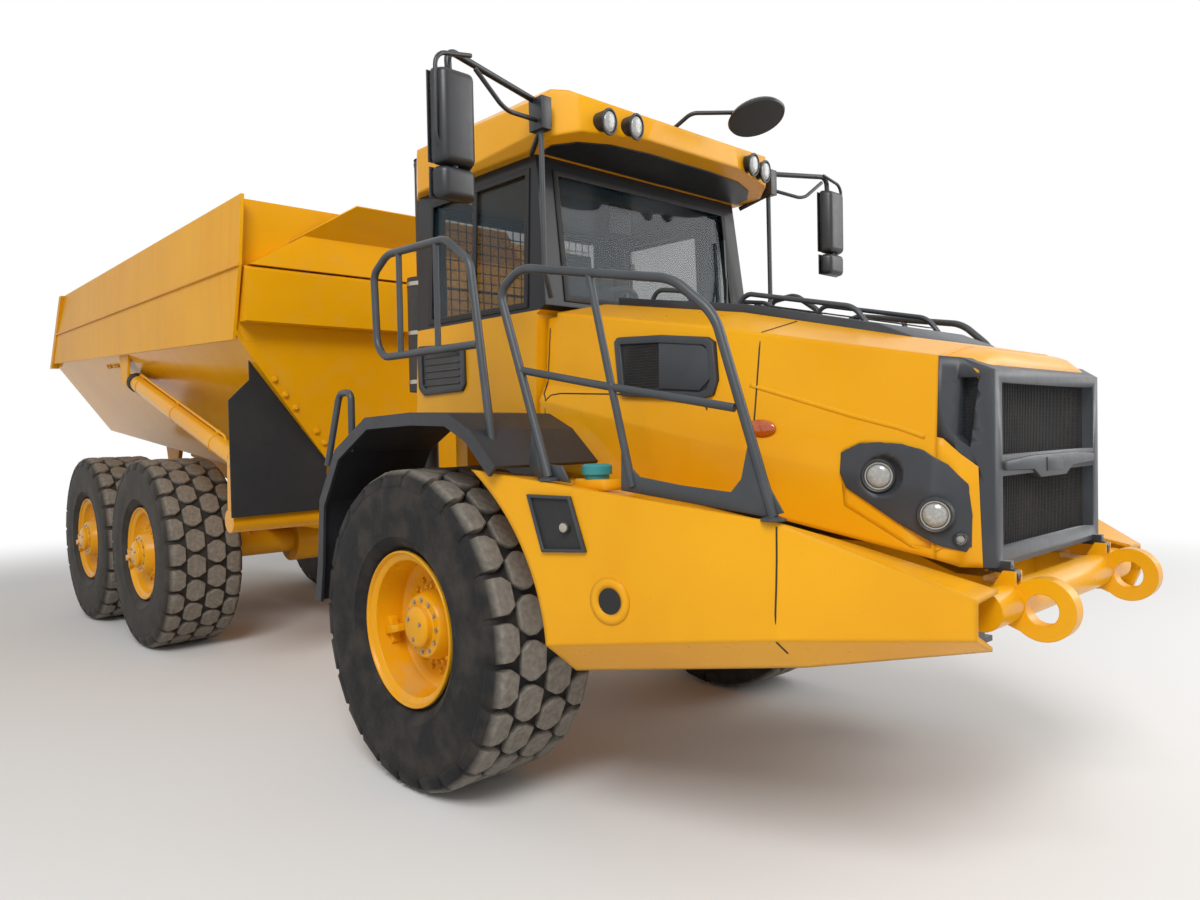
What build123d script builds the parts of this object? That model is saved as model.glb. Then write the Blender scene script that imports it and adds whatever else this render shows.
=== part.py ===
from build123d import *
import os
from math import cos, hypot, radians, sin

os.makedirs("parts", exist_ok=True)

# Articulated dump truck: a front unit with engine and cab, and a rear unit with a tipping bin.
# Millimetres. +X is forward, +Y is left, +Z is up and the ground is at Z 0.
# X is measured from the front axle. Only when a piece is saved is it moved to the middle of the machine.

# Wheelbase and reach
front_to_middle = 4181.0
middle_to_rear = 1670.0
pivot_setback = 1558.0
tail_overhang = 1495.0
wheel_track = 2356.0

# Clearances
shaft_fit = 0.1
seat_gap = 0.3
moving_gap = 6.0

# Wheels
tyre_radius = 785.0
tyre_width = 600.0
tread_depth = 36.0
tyre_bead_radius = 352.0
lug_count = 24
lug_width = 150.0
lug_groove = 16.0
rim_sides = 32
rim_flange_radius = 384.0
rim_flange_thickness = 22.0
rim_width = 520.0
rim_wall = 18.0
front_rim_dish = 205.0
rear_rim_dish = 95.0
hub_radius = 178.0
hub_cap_radius = 105.0
hub_cap_height = 48.0
spindle_radius = 70.0
wheel_inner = 890.0

# Axles
axle_tube_radius = 118.0
axle_bowl_radius = 205.0
axle_bowl_width = 330.0
axle_flange_radius = 165.0
axle_flange_thickness = 30.0

# Front chassis
front_rail_inner = 330.0
front_rail_width = 120.0
front_rail_bottom = 1025.0
front_rail_height = 245.0
front_rail_rear = -1000.0
front_rail_front = 2400.0
front_rail_nose = 155.0
plate = 40.0

# Engine
engine_x0 = 520.0
engine_x1 = 1780.0
engine_half = 300.0
engine_above_rails = 570.0

# Bumper tube with its two towing eyes
bumper_radius = 70.0
bumper_x = 2500.0
bumper_z = 1100.0
bumper_half = 700.0
eye_x = 2628.0
eye_z = 1093.0
eye_spread = 482.0
eye_radius = 110.0
eye_bore = 55.0
eye_thickness = 64.0

# Bonnet pivot on top of the bumper
bonnet_pin_x = 2519.0
bonnet_pin_z = 1199.0
bonnet_pin_spread = 487.0
bonnet_pin_radius = 12.0
bonnet_lug_width = 30.0
bonnet_lug_radius = 25.0

# Bonnet
bonnet_skin = 18.0
bonnet_rear_x = 345.0
bonnet_nose_x = 2330.0

# Grille
grille_face_x = 2486.0
grille_face_half = 541.0
grille_face_top = 1930.0
grille_face_bottom = 1228.0
grille_frame = 62.0
grille_depth = 90.0
mesh_pitch = 62.0
mesh_bar = 10.0
mesh_set_back = 45.0

# Lamps and air inlets in the bonnet's sides
lamp_radius = 48.0
lamp_housing_depth = 95.0
lamp_pocket_y = -610.0
vent_depth = 50.0
vent_slats = 7

# Cab
cab_rear_x = -790.0
cab_front_x = 330.0
cab_cowl_x = 398.0
cab_cowl_z = 2376.0
cab_brow_x = 308.0
cab_half = 860.0
cab_side_lean = 58.0
cab_floor_z = 1760.0
cab_top_z = 3150.0
roof_rise = 290.0
cab_wall = 46.0
head_room = 284.0
glass_thickness = 8.0
glass_set_in = 14.0
window_bottom_z = 2385.0
window_head = 70.0
door_rear_x = -700.0
door_front_x = 110.0
door_bottom_z = 1840.0
door_hinge_x = -738.0
door_hinge_y = 888.0
door_hinge_radius = 14.0
door_pin_radius = 6.0

# Exhaust behind the cab
exhaust_x = -930.0
exhaust_y = -680.0
exhaust_can_radius = 115.0
exhaust_pipe_radius = 55.0
exhaust_tail = 720.0
exhaust_can_length = 700.0
exhaust_below_roof = 20.0

# Side panels beside the bonnet
panel_skin = 14.0
arch_cut_radius = 1020.0
panel_inner = 715.0
step_x0 = 1180.0
step_x1 = 1720.0
step_count = 4
step_first_z = 520.0
step_rise = 265.0
step_y = 1080.0
step_depth = 200.0

# Fenders over the front wheels
fender_outer = 1492.0
fender_inner = 900.0
fender_skin = 16.0
fender_lip = 62.0

# Hitch between the units
hitch_z = 950.0
hitch_column_radius = 120.0
hitch_pin_radius = 45.0
hitch_ear_radius = 130.0
hitch_ear_thickness = 60.0
hitch_ear_gap = 600.0
hitch_shaft_radius = 150.0
hitch_shaft_end = 620.0
hitch_nut_radius = 185.0
hitch_nut_thickness = 40.0
housing_radius = 215.0
housing_front = 280.0

# Steering cylinders
steer_foot_x = -578.0
steer_foot_y = 500.0
steer_arm_back = 60.0
steer_arm_out = 300.0
steer_barrel_radius = 52.0
steer_rod_radius = 28.0
steer_eye_radius = 50.0
steer_eye_height = 64.0
steer_pin_radius = 22.0
steer_dead_length = 290.0
steer_rod_inner = 400.0

# Rear frame
rear_rail_inner = 350.0
rear_rail_width = 120.0
rear_rail_bottom = 930.0
rear_rail_height = 290.0
rear_frame_front = -1905.0
rear_frame_rear = -6520.0
beam_inner = 560.0
beam_width = 110.0
beam_height = 190.0

# Bin
bin_pivot_x = -6250.0
bin_pivot_z = 1330.0
bin_pin_radius = 40.0
bin_front_x = -1950.0
bin_wall_x = -2060.0
bin_foot_x = -2190.0
bin_wall = 22.0
bin_half = 1435.0
bin_top_z = 3320.0
bin_top_fall = 0.019
bin_side_lean = 0.06
bin_crease_z = 2860.0
bin_corner_z = 2440.0
flank_slope = 1.29
flank_fall = 0.0358
side_lip = 32.0
bin_floor_z = 1440.0
bin_ramp_x = -3900.0
bin_ramp_slope = 0.118
beam_height_from_crease = 360.0
bin_top_rear_x = -6680.0
tail_corner_x = -7180.0
tail_corner_z = 2516.0
bearer_width = 70.0
bearer_reach = 2000.0
flap_thickness = 12.0

# Canopy over the bin's front wall, its heights measured down from the top of the bin
shelf_foot = (450.0, 1360.0)
shelf_head = (60.0, 720.0)
shelf_depth = 110.0
visor_root = (254.0, 1050.0)
visor_tip = (-8.0, 653.0)
visor_reach = 240.0
visor_thickness = 12.0

# Tipping cylinders
hoist_inset = 115.0
hoist_foot_x = -2300.0
hoist_foot_z = 1575.0
hoist_eye_x = -4690.0
hoist_eye_z = 2270.0
hoist_barrel_radius = 70.0
hoist_rod_radius = 42.0
hoist_eye_radius = 48.0
hoist_eye_width = 88.0
hoist_pin_radius = 28.0
hoist_dead_length = 105.0
hoist_rod_inner = 140.0
outrigger_radius = 80.0
outrigger_z = 1170.0

# Places worked out from the sizes
middle_x = -front_to_middle
rear_x = middle_x - middle_to_rear
pivot_x = -pivot_setback
tail_x = rear_x - tail_overhang
nose_x = eye_x + eye_radius
axle_shift = -(nose_x + tail_x) / 2
hub_z = tyre_radius
wheel_y = wheel_track / 2
front_rail_outer = front_rail_inner + front_rail_width
front_rail_top = front_rail_bottom + front_rail_height
post_outer = front_rail_outer + 150
rear_rail_outer = rear_rail_inner + rear_rail_width
rear_rail_top = rear_rail_bottom + rear_rail_height
roof_top_z = cab_top_z + roof_rise
window_top_z = cab_top_z - window_head
exhaust_top_z = roof_top_z - exhaust_below_roof
beam_low_z = bin_crease_z - beam_height_from_crease
hoist_y = bin_half - hoist_inset


# Shapes used again and again
def block(x0, x1, y0, y1, z0, z1):
    """A box between two corners."""
    centre = Pos((x0 + x1) / 2, (y0 + y1) / 2, (z0 + z1) / 2)
    return centre * Box(abs(x1 - x0), abs(y1 - y0), abs(z1 - z0))


def rod(start, end, radius):
    """A round bar between two points."""
    axis = Vector(*end) - Vector(*start)
    return Part() + Solid.make_cylinder(radius, axis.length, Plane(origin=start, z_dir=axis))


def side_plate(points, y0, y1):
    """A plate whose outline is drawn from the side, as X and Z."""
    plane = Plane(origin=(0, max(y0, y1), 0), x_dir=(1, 0, 0), z_dir=(0, -1, 0))
    return extrude(plane * make_face(Polyline(*points, close=True)), amount=abs(y1 - y0))


def cross_plate(points, x0, x1):
    """A plate whose outline is drawn from the front, as Y and Z."""
    plane = Plane(origin=(min(x0, x1), 0, 0), x_dir=(0, 1, 0), z_dir=(1, 0, 0))
    return extrude(plane * make_face(Polyline(*points, close=True)), amount=abs(x1 - x0))


def deck_plate(points, z0, z1):
    """A plate whose outline is drawn from above, as X and Y."""
    plane = Plane(origin=(0, 0, min(z0, z1)))
    return extrude(plane * make_face(Polyline(*points, close=True)), amount=abs(z1 - z0))


def pipe(points, bend, radius):
    """A bent tube of eight flats that follows straight runs joined by arcs."""
    path = FilletPolyline(*points, radius=bend)
    start = Plane(origin=path @ 0, z_dir=path % 0)
    return sweep(start * RegularPolygon(radius, 8), path=path)


def turned(rows, sides, to_corners):
    """A body of flat faces round the Y axis. Columns: place along the axis, radius.

    The radius reaches the outline's corners, or else the middle of its sides. One side lies level below.
    """
    faces = []
    for y, radius in rows:
        plane = Plane(origin=(0, y, 0), x_dir=(1, 0, 0), z_dir=(0, 1, 0))
        faces.append(plane * RegularPolygon(radius, sides, major_radius=to_corners, rotation=180 / sides))
    return loft(faces, ruled=True)


def mirrored(shape):
    """The same piece on the other side of the machine."""
    return mirror(shape, about=Plane.XZ)


def pair(shape):
    """A piece and its mirror image."""
    return Compound(children=[*shape.solids(), *mirrored(shape).solids()])


def hull_of_sections(rows, outline):
    """A ruled solid through one closed outline at each X of a table."""
    faces = []
    for row in rows:
        plane = Plane(origin=(row[0], 0, 0), x_dir=(0, 1, 0), z_dir=(1, 0, 0))
        faces.append(plane * make_face(Polyline(*outline(row), close=True)))
    return loft(faces, ruled=True)


def save(name, shape):
    """Write one piece, moved so that X 0 is the middle of the machine."""
    solids = [s.moved(Location((axle_shift, 0, 0))) for s in shape.solids()]
    piece = solids[0] if len(solids) == 1 else Compound(children=solids)
    export_step(piece, f"parts/{name}.step")


# Wheels
def tyre():
    """One tyre about the Y axis: a carcass with a ring of lugs on each side of its middle."""
    half = tyre_width / 2
    tread_floor = tyre_radius - tread_depth
    bulge = (rim_flange_radius + tyre_radius) / 2
    bead_y = rim_width / 2 - rim_flange_thickness - 14
    body = turned([(-half, bulge + 15), (-half + 15, tread_floor), (half - 15, tread_floor), (half, bulge + 15)],
                  lug_count, False)
    body -= turned([(-half - 1, tyre_bead_radius), (half + 1, tyre_bead_radius)], lug_count, False)
    for side in (-1, 1):
        body -= turned([
            (side * bead_y, rim_flange_radius + 12), (side * (half - 12), rim_flange_radius + 60),
            (side * (half + 1), bulge - 5),
        ], lug_count, False)
    # The two rings are turned a quarter pitch each way, so that a lug of each meets the ground
    pitch = 360 / lug_count
    turn = pitch / 4
    tip = (tyre_radius - lug_width / 2 * sin(radians(turn))) / cos(radians(turn))
    lug = [
        (lug_groove / 2, tread_floor - 25), (lug_groove / 2, tip), (half - 60, tip),
        (half - 20, tread_floor - 5), (half - 20, tread_floor - 25),
    ]
    one_lug = cross_plate(lug, -lug_width / 2, lug_width / 2)
    lugs = []
    for i in range(lug_count):
        lugs.append(Rot(0, i * pitch + turn, 0) * one_lug)
        lugs.append(Rot(0, i * pitch - turn, 0) * mirrored(one_lug))
    return body + lugs


def rim(dish):
    """One wheel rim and hub about the Y axis, its outer side at +Y."""
    half = rim_width / 2
    seat = tyre_bead_radius - seat_gap
    well = seat - rim_wall
    web_out = half - dish
    web_in = web_out - 24
    cap_out = web_out + 110
    hub_in = wheel_inner - wheel_y
    shelf = half - rim_flange_thickness
    body = turned([
        (-half, rim_flange_radius), (-shelf, rim_flange_radius), (-shelf + 8, seat), (shelf - 8, seat),
        (shelf, rim_flange_radius), (half, rim_flange_radius),
    ], rim_sides, True)
    body -= turned([
        (web_out, well - 40), (half - 34, well), (half - 14, rim_flange_radius - 18),
        (half + 1, rim_flange_radius - 5),
    ], rim_sides, True)
    body -= turned([(-half - 1, well), (web_in - 60, well), (web_in, well - 60)], rim_sides, True)
    body += turned([(hub_in, hub_radius), (web_out + 40, hub_radius), (cap_out, hub_radius - 22)],
                   rim_sides, True)
    body += turned([
        (cap_out - 5, hub_cap_radius), (cap_out + hub_cap_height - 16, hub_cap_radius),
        (cap_out + hub_cap_height, hub_cap_radius - 16),
    ], rim_sides, True)
    return body - rod((0, hub_in - 1, 0), (0, web_in - 30, 0), spindle_radius + shaft_fit)


# Columns: name, X of its axle, dish of its rim.
wheel_rows = [
    ("front", 0.0, front_rim_dish),
    ("middle", middle_x, rear_rim_dish),
    ("rear", rear_x, rear_rim_dish),
]
one_tyre = tyre()
for name, x, dish in wheel_rows:
    left = Pos(x, wheel_y, hub_z)
    left_tyre = left * one_tyre
    left_rim = left * rim(dish)
    save(f"tyre_{name}_left", left_tyre)
    save(f"tyre_{name}_right", mirrored(left_tyre))
    save(f"rim_{name}_left", left_rim)
    save(f"rim_{name}_right", mirrored(left_rim))


def axle(x, dish):
    """Axle housing with bowl, flanges and the spindles that carry the wheels."""
    web_in = wheel_y + rim_width / 2 - dish - 24
    end = web_in - 30 - moving_gap
    flange = wheel_inner - moving_gap
    body = rod((x, -flange, hub_z), (x, flange, hub_z), axle_tube_radius)
    body += rod((x, -axle_bowl_width / 2, hub_z), (x, axle_bowl_width / 2, hub_z), axle_bowl_radius)
    body += rod((x, -end, hub_z), (x, end, hub_z), spindle_radius)
    for side in (-1, 1):
        inner = side * (flange - axle_flange_thickness)
        body += rod((x, inner, hub_z), (x, side * flange, hub_z), axle_flange_radius)
    return body


# Front axle, carried by two saddles under the rails
front_axle = axle(0.0, front_rim_dish)
for side in (-1, 1):
    y0 = side * front_rail_inner
    y1 = side * front_rail_outer
    front_axle += block(-130, 130, y0, y1, hub_z, front_rail_bottom)
save("front_axle", front_axle)

# Side panels: deck, side and chamfered underside in one folded shell beside the bonnet
# Columns: X, outer half width at the top, top Z, outer half width at the bottom, bottom Z,
# half width of the chamfer's inner edge, its Z, Z of the deck's inner edge.
panel_rows = [
    (560, 1490, 1592, 1488, 800, 1330, 660, 1520),
    (2004, 1180, 1417, 1184, 1008, 1010, 880, 1300),
    (2560, 880, 1172, 880, 1040, 760, 985, 1186),
]


def panel_outline(row):
    """Folded plate seen from the front, on the left side."""
    x, top, top_z, bottom, bottom_z, chamfer, chamfer_z, deck_z = row
    skin = panel_skin
    return [
        (panel_inner, deck_z), (top, top_z), (bottom, bottom_z), (chamfer, chamfer_z),
        (chamfer, chamfer_z + skin), (bottom - skin, bottom_z + skin), (top - skin, top_z - skin),
        (panel_inner, deck_z - skin),
    ]


def deck_height(x):
    """Z of the deck's inner edge at a place along the machine."""
    for low, high in zip(panel_rows, panel_rows[1:]):
        if low[0] <= x <= high[0]:
            share = (x - low[0]) / (high[0] - low[0])
            return low[-1] + (high[-1] - low[-1]) * share
    return panel_rows[0][-1]


def above_deck(row):
    """All that lies above the underside of a side panel's deck, and a seat's gap below it."""
    x, top, top_z, bottom, bottom_z, chamfer, chamfer_z, deck_z = row
    low = panel_skin + seat_gap
    return [(panel_inner, deck_z - low), (top, top_z - low), (top, 2600), (panel_inner, 2600)]


# Front chassis: two rails, cross members and the shelf under the exhaust
front_chassis = Part()
for side in (-1, 1):
    rail = [
        (front_rail_rear, front_rail_bottom), (front_rail_front, front_rail_bottom),
        (front_rail_front, front_rail_bottom + front_rail_nose), (2300, front_rail_bottom + front_rail_nose),
        (2050, front_rail_top), (front_rail_rear, front_rail_top),
    ]
    front_chassis += side_plate(rail, side * front_rail_inner, side * front_rail_outer)
for x0, x1 in [(300, 400), (2200, 2300)]:
    y = front_rail_inner
    front_chassis += block(x0, x1, -y, y, front_rail_bottom + 20, front_rail_bottom + front_rail_nose - 20)
front_chassis += block(
    exhaust_x - 70, exhaust_x + 70, exhaust_y - 70, -front_rail_inner, front_rail_top - plate, front_rail_top)
save("front_chassis", front_chassis)

# Yoke: the fork behind the rails that holds the hitch
ear_top = hitch_z + hitch_ear_gap / 2
ear_bottom = hitch_z - hitch_ear_gap / 2
yoke = Part()
ear_outline = [
    (front_rail_rear + plate, -front_rail_outer),
    (pivot_x + 90, -hitch_ear_radius * 0.75),
    (pivot_x + 90, hitch_ear_radius * 0.75),
    (front_rail_rear + plate, front_rail_outer),
]
for low in (ear_top, ear_bottom - hitch_ear_thickness):
    high = low + hitch_ear_thickness
    ear = deck_plate(ear_outline, low, high)
    ear += rod((pivot_x, 0, low), (pivot_x, 0, high), hitch_ear_radius)
    ear -= rod((pivot_x, 0, low - 1), (pivot_x, 0, high + 1), hitch_pin_radius + shaft_fit)
    yoke += ear
for side in (-1, 1):
    neck = [
        (front_rail_rear + plate, side * 250),
        (front_rail_rear + plate, side * 210),
        (-1270, side * 170),
        (-1270, side * 210),
    ]
    yoke += deck_plate(neck, ear_bottom, ear_top)
yoke += block(
    front_rail_rear, front_rail_rear + plate, -front_rail_inner, front_rail_inner,
    ear_bottom - hitch_ear_thickness, ear_top + hitch_ear_thickness,
)
save("hitch_yoke", yoke - front_chassis)

# Brackets of the steering cylinders, hung under the rails
bracket_gap = steer_eye_height / 2 + 2
bracket_thickness = 22.0
brackets = Part()
for side in (-1, 1):
    for up in (-1, 1):
        z0 = hitch_z + up * bracket_gap
        z1 = hitch_z + up * (bracket_gap + bracket_thickness)
        lug = [
            (steer_foot_x - steer_eye_radius, side * front_rail_inner),
            (steer_foot_x - steer_eye_radius, side * (steer_foot_y + 50)),
            (steer_foot_x + 60, side * (steer_foot_y + 50)),
            (steer_foot_x + 60, side * front_rail_inner),
        ]
        brackets += deck_plate(lug, z0, z1)
    hanger_y0 = side * front_rail_inner
    hanger_y1 = side * (front_rail_outer - 30)
    hanger_low = hitch_z - bracket_gap - bracket_thickness
    brackets += block(
        steer_foot_x - 50, steer_foot_x + 60, hanger_y0, hanger_y1, hanger_low, front_rail_bottom)
    pin_low = (steer_foot_x, side * steer_foot_y, hanger_low)
    pin_high = (steer_foot_x, side * steer_foot_y, hitch_z + bracket_gap + bracket_thickness)
    brackets += rod(pin_low, pin_high, steer_pin_radius)
save("steer_brackets", brackets)

# Posts under the cab
posts = Part()
for side in (-1, 1):
    for x in (-700.0, 250.0):
        y0 = side * front_rail_inner
        y1 = side * post_outer
        posts += block(x - 60, x + 60, y0, y1, front_rail_top, cab_floor_z - seat_gap)
save("cab_posts", posts)

# Arms that carry the side panels from below. Columns: X, Z of the arm's underside.
arms = Part()
for x, z in [(910, 1150), (1900, 1130)]:
    arms += block(x - 20, x + 20, front_rail_outer, panel_inner + 60, z, z + 50)
    arms += block(x - 20, x + 20, panel_inner + 20, panel_inner + 60, z, deck_height(x) + 40)
arms -= hull_of_sections(panel_rows, above_deck)
save("panel_arms", pair(arms))

# Engine, one plain block at its place between the rails
engine_top = front_rail_top + engine_above_rails
engine = block(engine_x0, engine_x1, -engine_half, engine_half, front_rail_bottom - 15, engine_top)
foot_half = front_rail_inner - seat_gap
foot_z = front_rail_bottom + front_rail_height / 2
for x in (engine_x0 + 180, engine_x1 - 180):
    engine += block(x - 50, x + 50, -foot_half, foot_half, foot_z - 40, foot_z + 40)
save("engine_block", engine)

# Bumper tube, towing eyes and the lugs of the bonnet pivot
bumper = rod((bumper_x, -bumper_half, bumper_z), (bumper_x, bumper_half, bumper_z), bumper_radius)
for side in (-1, 1):
    bumper += block(
        front_rail_front, bumper_x - 20, side * front_rail_inner, side * front_rail_outer,
        bumper_z - 60, bumper_z + 60,
    )
    y0 = side * (eye_spread - eye_thickness / 2)
    y1 = side * (eye_spread + eye_thickness / 2)
    arm = [
        (bumper_x, bumper_z - bumper_radius),
        (eye_x, eye_z - eye_radius),
        (eye_x, eye_z),
        (eye_x - 38, eye_z + eye_radius * 0.93),
        (bumper_x, bumper_z + 50),
    ]
    bumper += side_plate(arm, y0, y1)
    bumper += rod((eye_x, y0, eye_z), (eye_x, y1, eye_z), eye_radius)
    for way in (-1, 1):
        inner = side * bonnet_pin_spread + way * (bonnet_lug_width / 2 + 3)
        outer = inner + way * 14
        lug = [
            (bonnet_pin_x - 40, bumper_z),
            (bonnet_pin_x + 22, bumper_z + 40),
            (bonnet_pin_x + 22, bonnet_pin_z + 18),
            (bonnet_pin_x - 22, bonnet_pin_z + 18),
            (bonnet_pin_x - 60, bumper_z + 55),
        ]
        bumper += side_plate(lug, inner, outer)
    pin_half = bonnet_lug_width / 2 + 17
    bumper += rod(
        (bonnet_pin_x, side * bonnet_pin_spread - pin_half, bonnet_pin_z),
        (bonnet_pin_x, side * bonnet_pin_spread + pin_half, bonnet_pin_z), bonnet_pin_radius)
for side in (-1, 1):
    y0 = side * (eye_spread - eye_thickness)
    y1 = side * (eye_spread + eye_thickness)
    bumper -= rod((eye_x, y0, eye_z), (eye_x, y1, eye_z), eye_bore)
save("front_bumper", bumper)


# Bonnet: a ruled shell, widest at its waist, narrowing and falling towards the grille
# Columns: X, crown half width, crown Z, shoulder half width, shoulder Z, waist half width, waist Z,
# hip half width, hip Z, bottom Z.
bonnet_rows = [
    (bonnet_rear_x, 430, 2420, 770, 2350, 800, 1985, 845, 1900, 1562),
    (1300, 410, 2270, 715, 2190, 770, 1850, 800, 1700, 1452),
    (bonnet_nose_x, 390, 2035, 640, 1985, 668, 1690, 690, 1500, 1262),
]


def bonnet_outline(inset, drop):
    """The bonnet's outline at one row, moved inwards by a wall and lowered at its bottom."""
    def outline(row):
        x, crown, crown_z, shoulder, shoulder_z, waist, waist_z, hip, hip_z, bottom_z = row
        right = [
            (crown - inset / 2, crown_z - inset),
            (shoulder - inset, shoulder_z - inset),
            (waist - inset, waist_z),
            (hip - inset, hip_z),
            (hip - inset, bottom_z - drop),
        ]
        return right + [(-y, z) for y, z in reversed(right)]
    return outline


def grown(rows, more):
    """The same table, its first and last X moved apart."""
    first = (rows[0][0] - more, *rows[0][1:])
    last = (rows[-1][0] + more, *rows[-1][1:])
    return [first, *rows[1:-1], last]


bonnet_outer = hull_of_sections(bonnet_rows, bonnet_outline(0, 0))
bonnet_inner = hull_of_sections(grown(bonnet_rows, 2), bonnet_outline(bonnet_skin, 60))
bonnet = bonnet_outer - bonnet_inner
cowl_clear = cab_cowl_x + moving_gap + 4
bonnet -= block(bonnet_rear_x - 10, cowl_clear, -900, 900, cab_cowl_z - 60, cab_cowl_z + 100)

# Outline of the headlamp recess in the bonnet's side, as X and Z
lamp_outline = [
    (1985, 1640), (2060, 1672), (2200, 1662), (2310, 1580), (2322, 1500), (2318, 1300), (2240, 1310),
    (2010, 1450),
]
# Outline of the air inlet in the bonnet's side, as X and Z
vent_outline = [(850, 2150), (1330, 2100), (1360, 1930), (1290, 1885), (900, 1925)]
# The rear third of it is open behind slats
vent_inlet = [(885, 2120), (1035, 2105), (1045, 1935), (925, 1945)]


def shrunk(points, by):
    """The outline moved towards its middle by about one clearance."""
    cx = sum(x for x, z in points) / len(points)
    cz = sum(z for x, z in points) / len(points)
    out = []
    for x, z in points:
        reach = hypot(x - cx, z - cz)
        out.append((x - (x - cx) * by / reach, z - (z - cz) * by / reach))
    return out


def side_insert(points, recess, depth):
    """A piece set into the bonnet's right side behind its skin line."""
    prism = side_plate(shrunk(points, seat_gap), -950, -450)
    skin = hull_of_sections(bonnet_rows, bonnet_outline(recess, 0))
    core = hull_of_sections(grown(bonnet_rows, 2), bonnet_outline(recess + depth, 60))
    return (prism & skin) - core


for points in (lamp_outline, vent_outline):
    bonnet -= side_plate(points, -950, 950)
save("bonnet", bonnet)
headlamp = side_insert(lamp_outline, 8, lamp_housing_depth)
# Two round lamps sit in pockets of the moulding. Columns: X, Z.
for x, z in [(2120, 1560), (2235, 1440)]:
    pocket_out = (x, -800, z)
    headlamp -= rod(pocket_out, (x, lamp_pocket_y, z), lamp_radius + 14)
    headlamp += rod((x, lamp_pocket_y - 24, z), (x, lamp_pocket_y + 1, z), lamp_radius)
save("headlamps", pair(headlamp))

# Grille: a deep frame with two mesh panels, a bar between them and the lugs of the bonnet pivot
# Columns: X, half width at the top, top Z, half width at the bottom, bottom Z.
grille_rows = [
    (bonnet_nose_x, 640, 1985, 690, 1262),
    (2400, 620, 1975, 640, 1235),
    (grille_face_x, grille_face_half, grille_face_top, grille_face_half, grille_face_bottom),
]


def grille_outline(row):
    x, top, top_z, bottom, bottom_z = row
    return [(top, top_z), (bottom, bottom_z), (-bottom, bottom_z), (-top, top_z)]


grille = hull_of_sections(grille_rows, grille_outline)
window_half = grille_face_half - grille_frame
bar_low = 1550.0
bar_high = 1625.0
grille_windows = [
    (grille_face_bottom + grille_frame, bar_low), (bar_high, grille_face_top - grille_frame * 0.7),
]
for z0, z1 in grille_windows:
    grille -= block(grille_face_x - grille_depth, grille_face_x + 50, -window_half, window_half, z0, z1)
for side in (-1, 1):
    y0 = side * (bonnet_pin_spread - bonnet_lug_width / 2)
    y1 = side * (bonnet_pin_spread + bonnet_lug_width / 2)
    lug = rod((bonnet_pin_x, y0, bonnet_pin_z), (bonnet_pin_x, y1, bonnet_pin_z), bonnet_lug_radius)
    lug += block(2440, bonnet_pin_x, y0, y1, bonnet_pin_z + 8, grille_face_bottom + 22)
    lug -= rod((bonnet_pin_x, y0 - 20 * side, bonnet_pin_z), (bonnet_pin_x, y1 + 20 * side, bonnet_pin_z),
               bonnet_pin_radius + shaft_fit)
    grille += lug
save("grille", grille)
side_vent = side_insert(vent_outline, 8, vent_depth)
vent_mesh = side_plate(vent_inlet, -950, -450) & hull_of_sections(bonnet_rows, bonnet_outline(0, 0))
side_vent -= vent_mesh - hull_of_sections(grown(bonnet_rows, 2), bonnet_outline(8 + vent_depth - 14, 60))
for i in range(1, vent_slats + 1):
    x = vent_inlet[0][0] + (vent_inlet[1][0] - vent_inlet[0][0]) * i / (vent_slats + 1)
    slat = side_insert([(x - 4, 2200), (x + 4, 2200), (x + 4, 1850), (x - 4, 1850)], 16, vent_depth - 12)
    side_vent += slat & side_plate(shrunk(vent_outline, 12), -950, -450)
save("side_vents", pair(side_vent))

# Mesh panels in the grille's two windows: a plate with rows of square holes
meshes = []
for z0, z1 in grille_windows:
    mesh_plane = Plane(origin=(grille_face_x - mesh_set_back, 0, (z0 + z1) / 2), x_dir=(0, 1, 0), z_dir=(1, 0, 0))
    across = 2 * (window_half - seat_gap)
    up = z1 - z0 - 2 * seat_gap
    columns = int((across - mesh_bar) / mesh_pitch)
    rows = int((up - mesh_bar) / mesh_pitch)
    panel = Rectangle(across, up)
    panel -= [spot * Rectangle(mesh_pitch - mesh_bar, mesh_pitch - mesh_bar)
              for spot in GridLocations(mesh_pitch, mesh_pitch, columns, rows)]
    meshes += extrude(mesh_plane * panel, amount=mesh_bar).solids()
save("grille_mesh", Compound(children=meshes))


# Cab: the side view cut by the front view, both drawn in from the roof's and the floor's edges
cab_side = [
    (cab_rear_x, cab_floor_z), (cab_front_x, cab_floor_z), (cab_front_x, cab_cowl_z - 40),
    (cab_cowl_x, cab_cowl_z), (cab_brow_x, cab_top_z), (cab_rear_x, cab_top_z),
]
cab_top_half = cab_half - cab_side_lean
cab_face = [
    (-cab_half, cab_floor_z), (cab_half, cab_floor_z), (cab_top_half, cab_top_z), (-cab_top_half, cab_top_z),
]


def cab_box(inset):
    """The cab's outer form, every wall moved inwards by the same amount."""
    side_plane = Plane(origin=(0, 1000, 0), x_dir=(1, 0, 0), z_dir=(0, -1, 0))
    face_plane = Plane(origin=(-1000, 0, 0), x_dir=(0, 1, 0), z_dir=(1, 0, 0))
    side_face = make_face(Polyline(*cab_side, close=True))
    front_face = make_face(Polyline(*cab_face, close=True))
    if inset:
        side_face = offset(side_face, amount=-inset, kind=Kind.INTERSECTION)
        front_face = offset(front_face, amount=-inset, kind=Kind.INTERSECTION)
    return extrude(side_plane * side_face, amount=2000) & extrude(face_plane * front_face, amount=2000)


def wall_ring(outer_inset, thickness):
    """A layer of the cab's walls, floor and ceiling."""
    return cab_box(outer_inset) - cab_box(outer_inset + thickness)


def cab_wall_y(z):
    """Half width of the cab's outer side at a height."""
    return cab_half - cab_side_lean * (z - cab_floor_z) / (cab_top_z - cab_floor_z)


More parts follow.
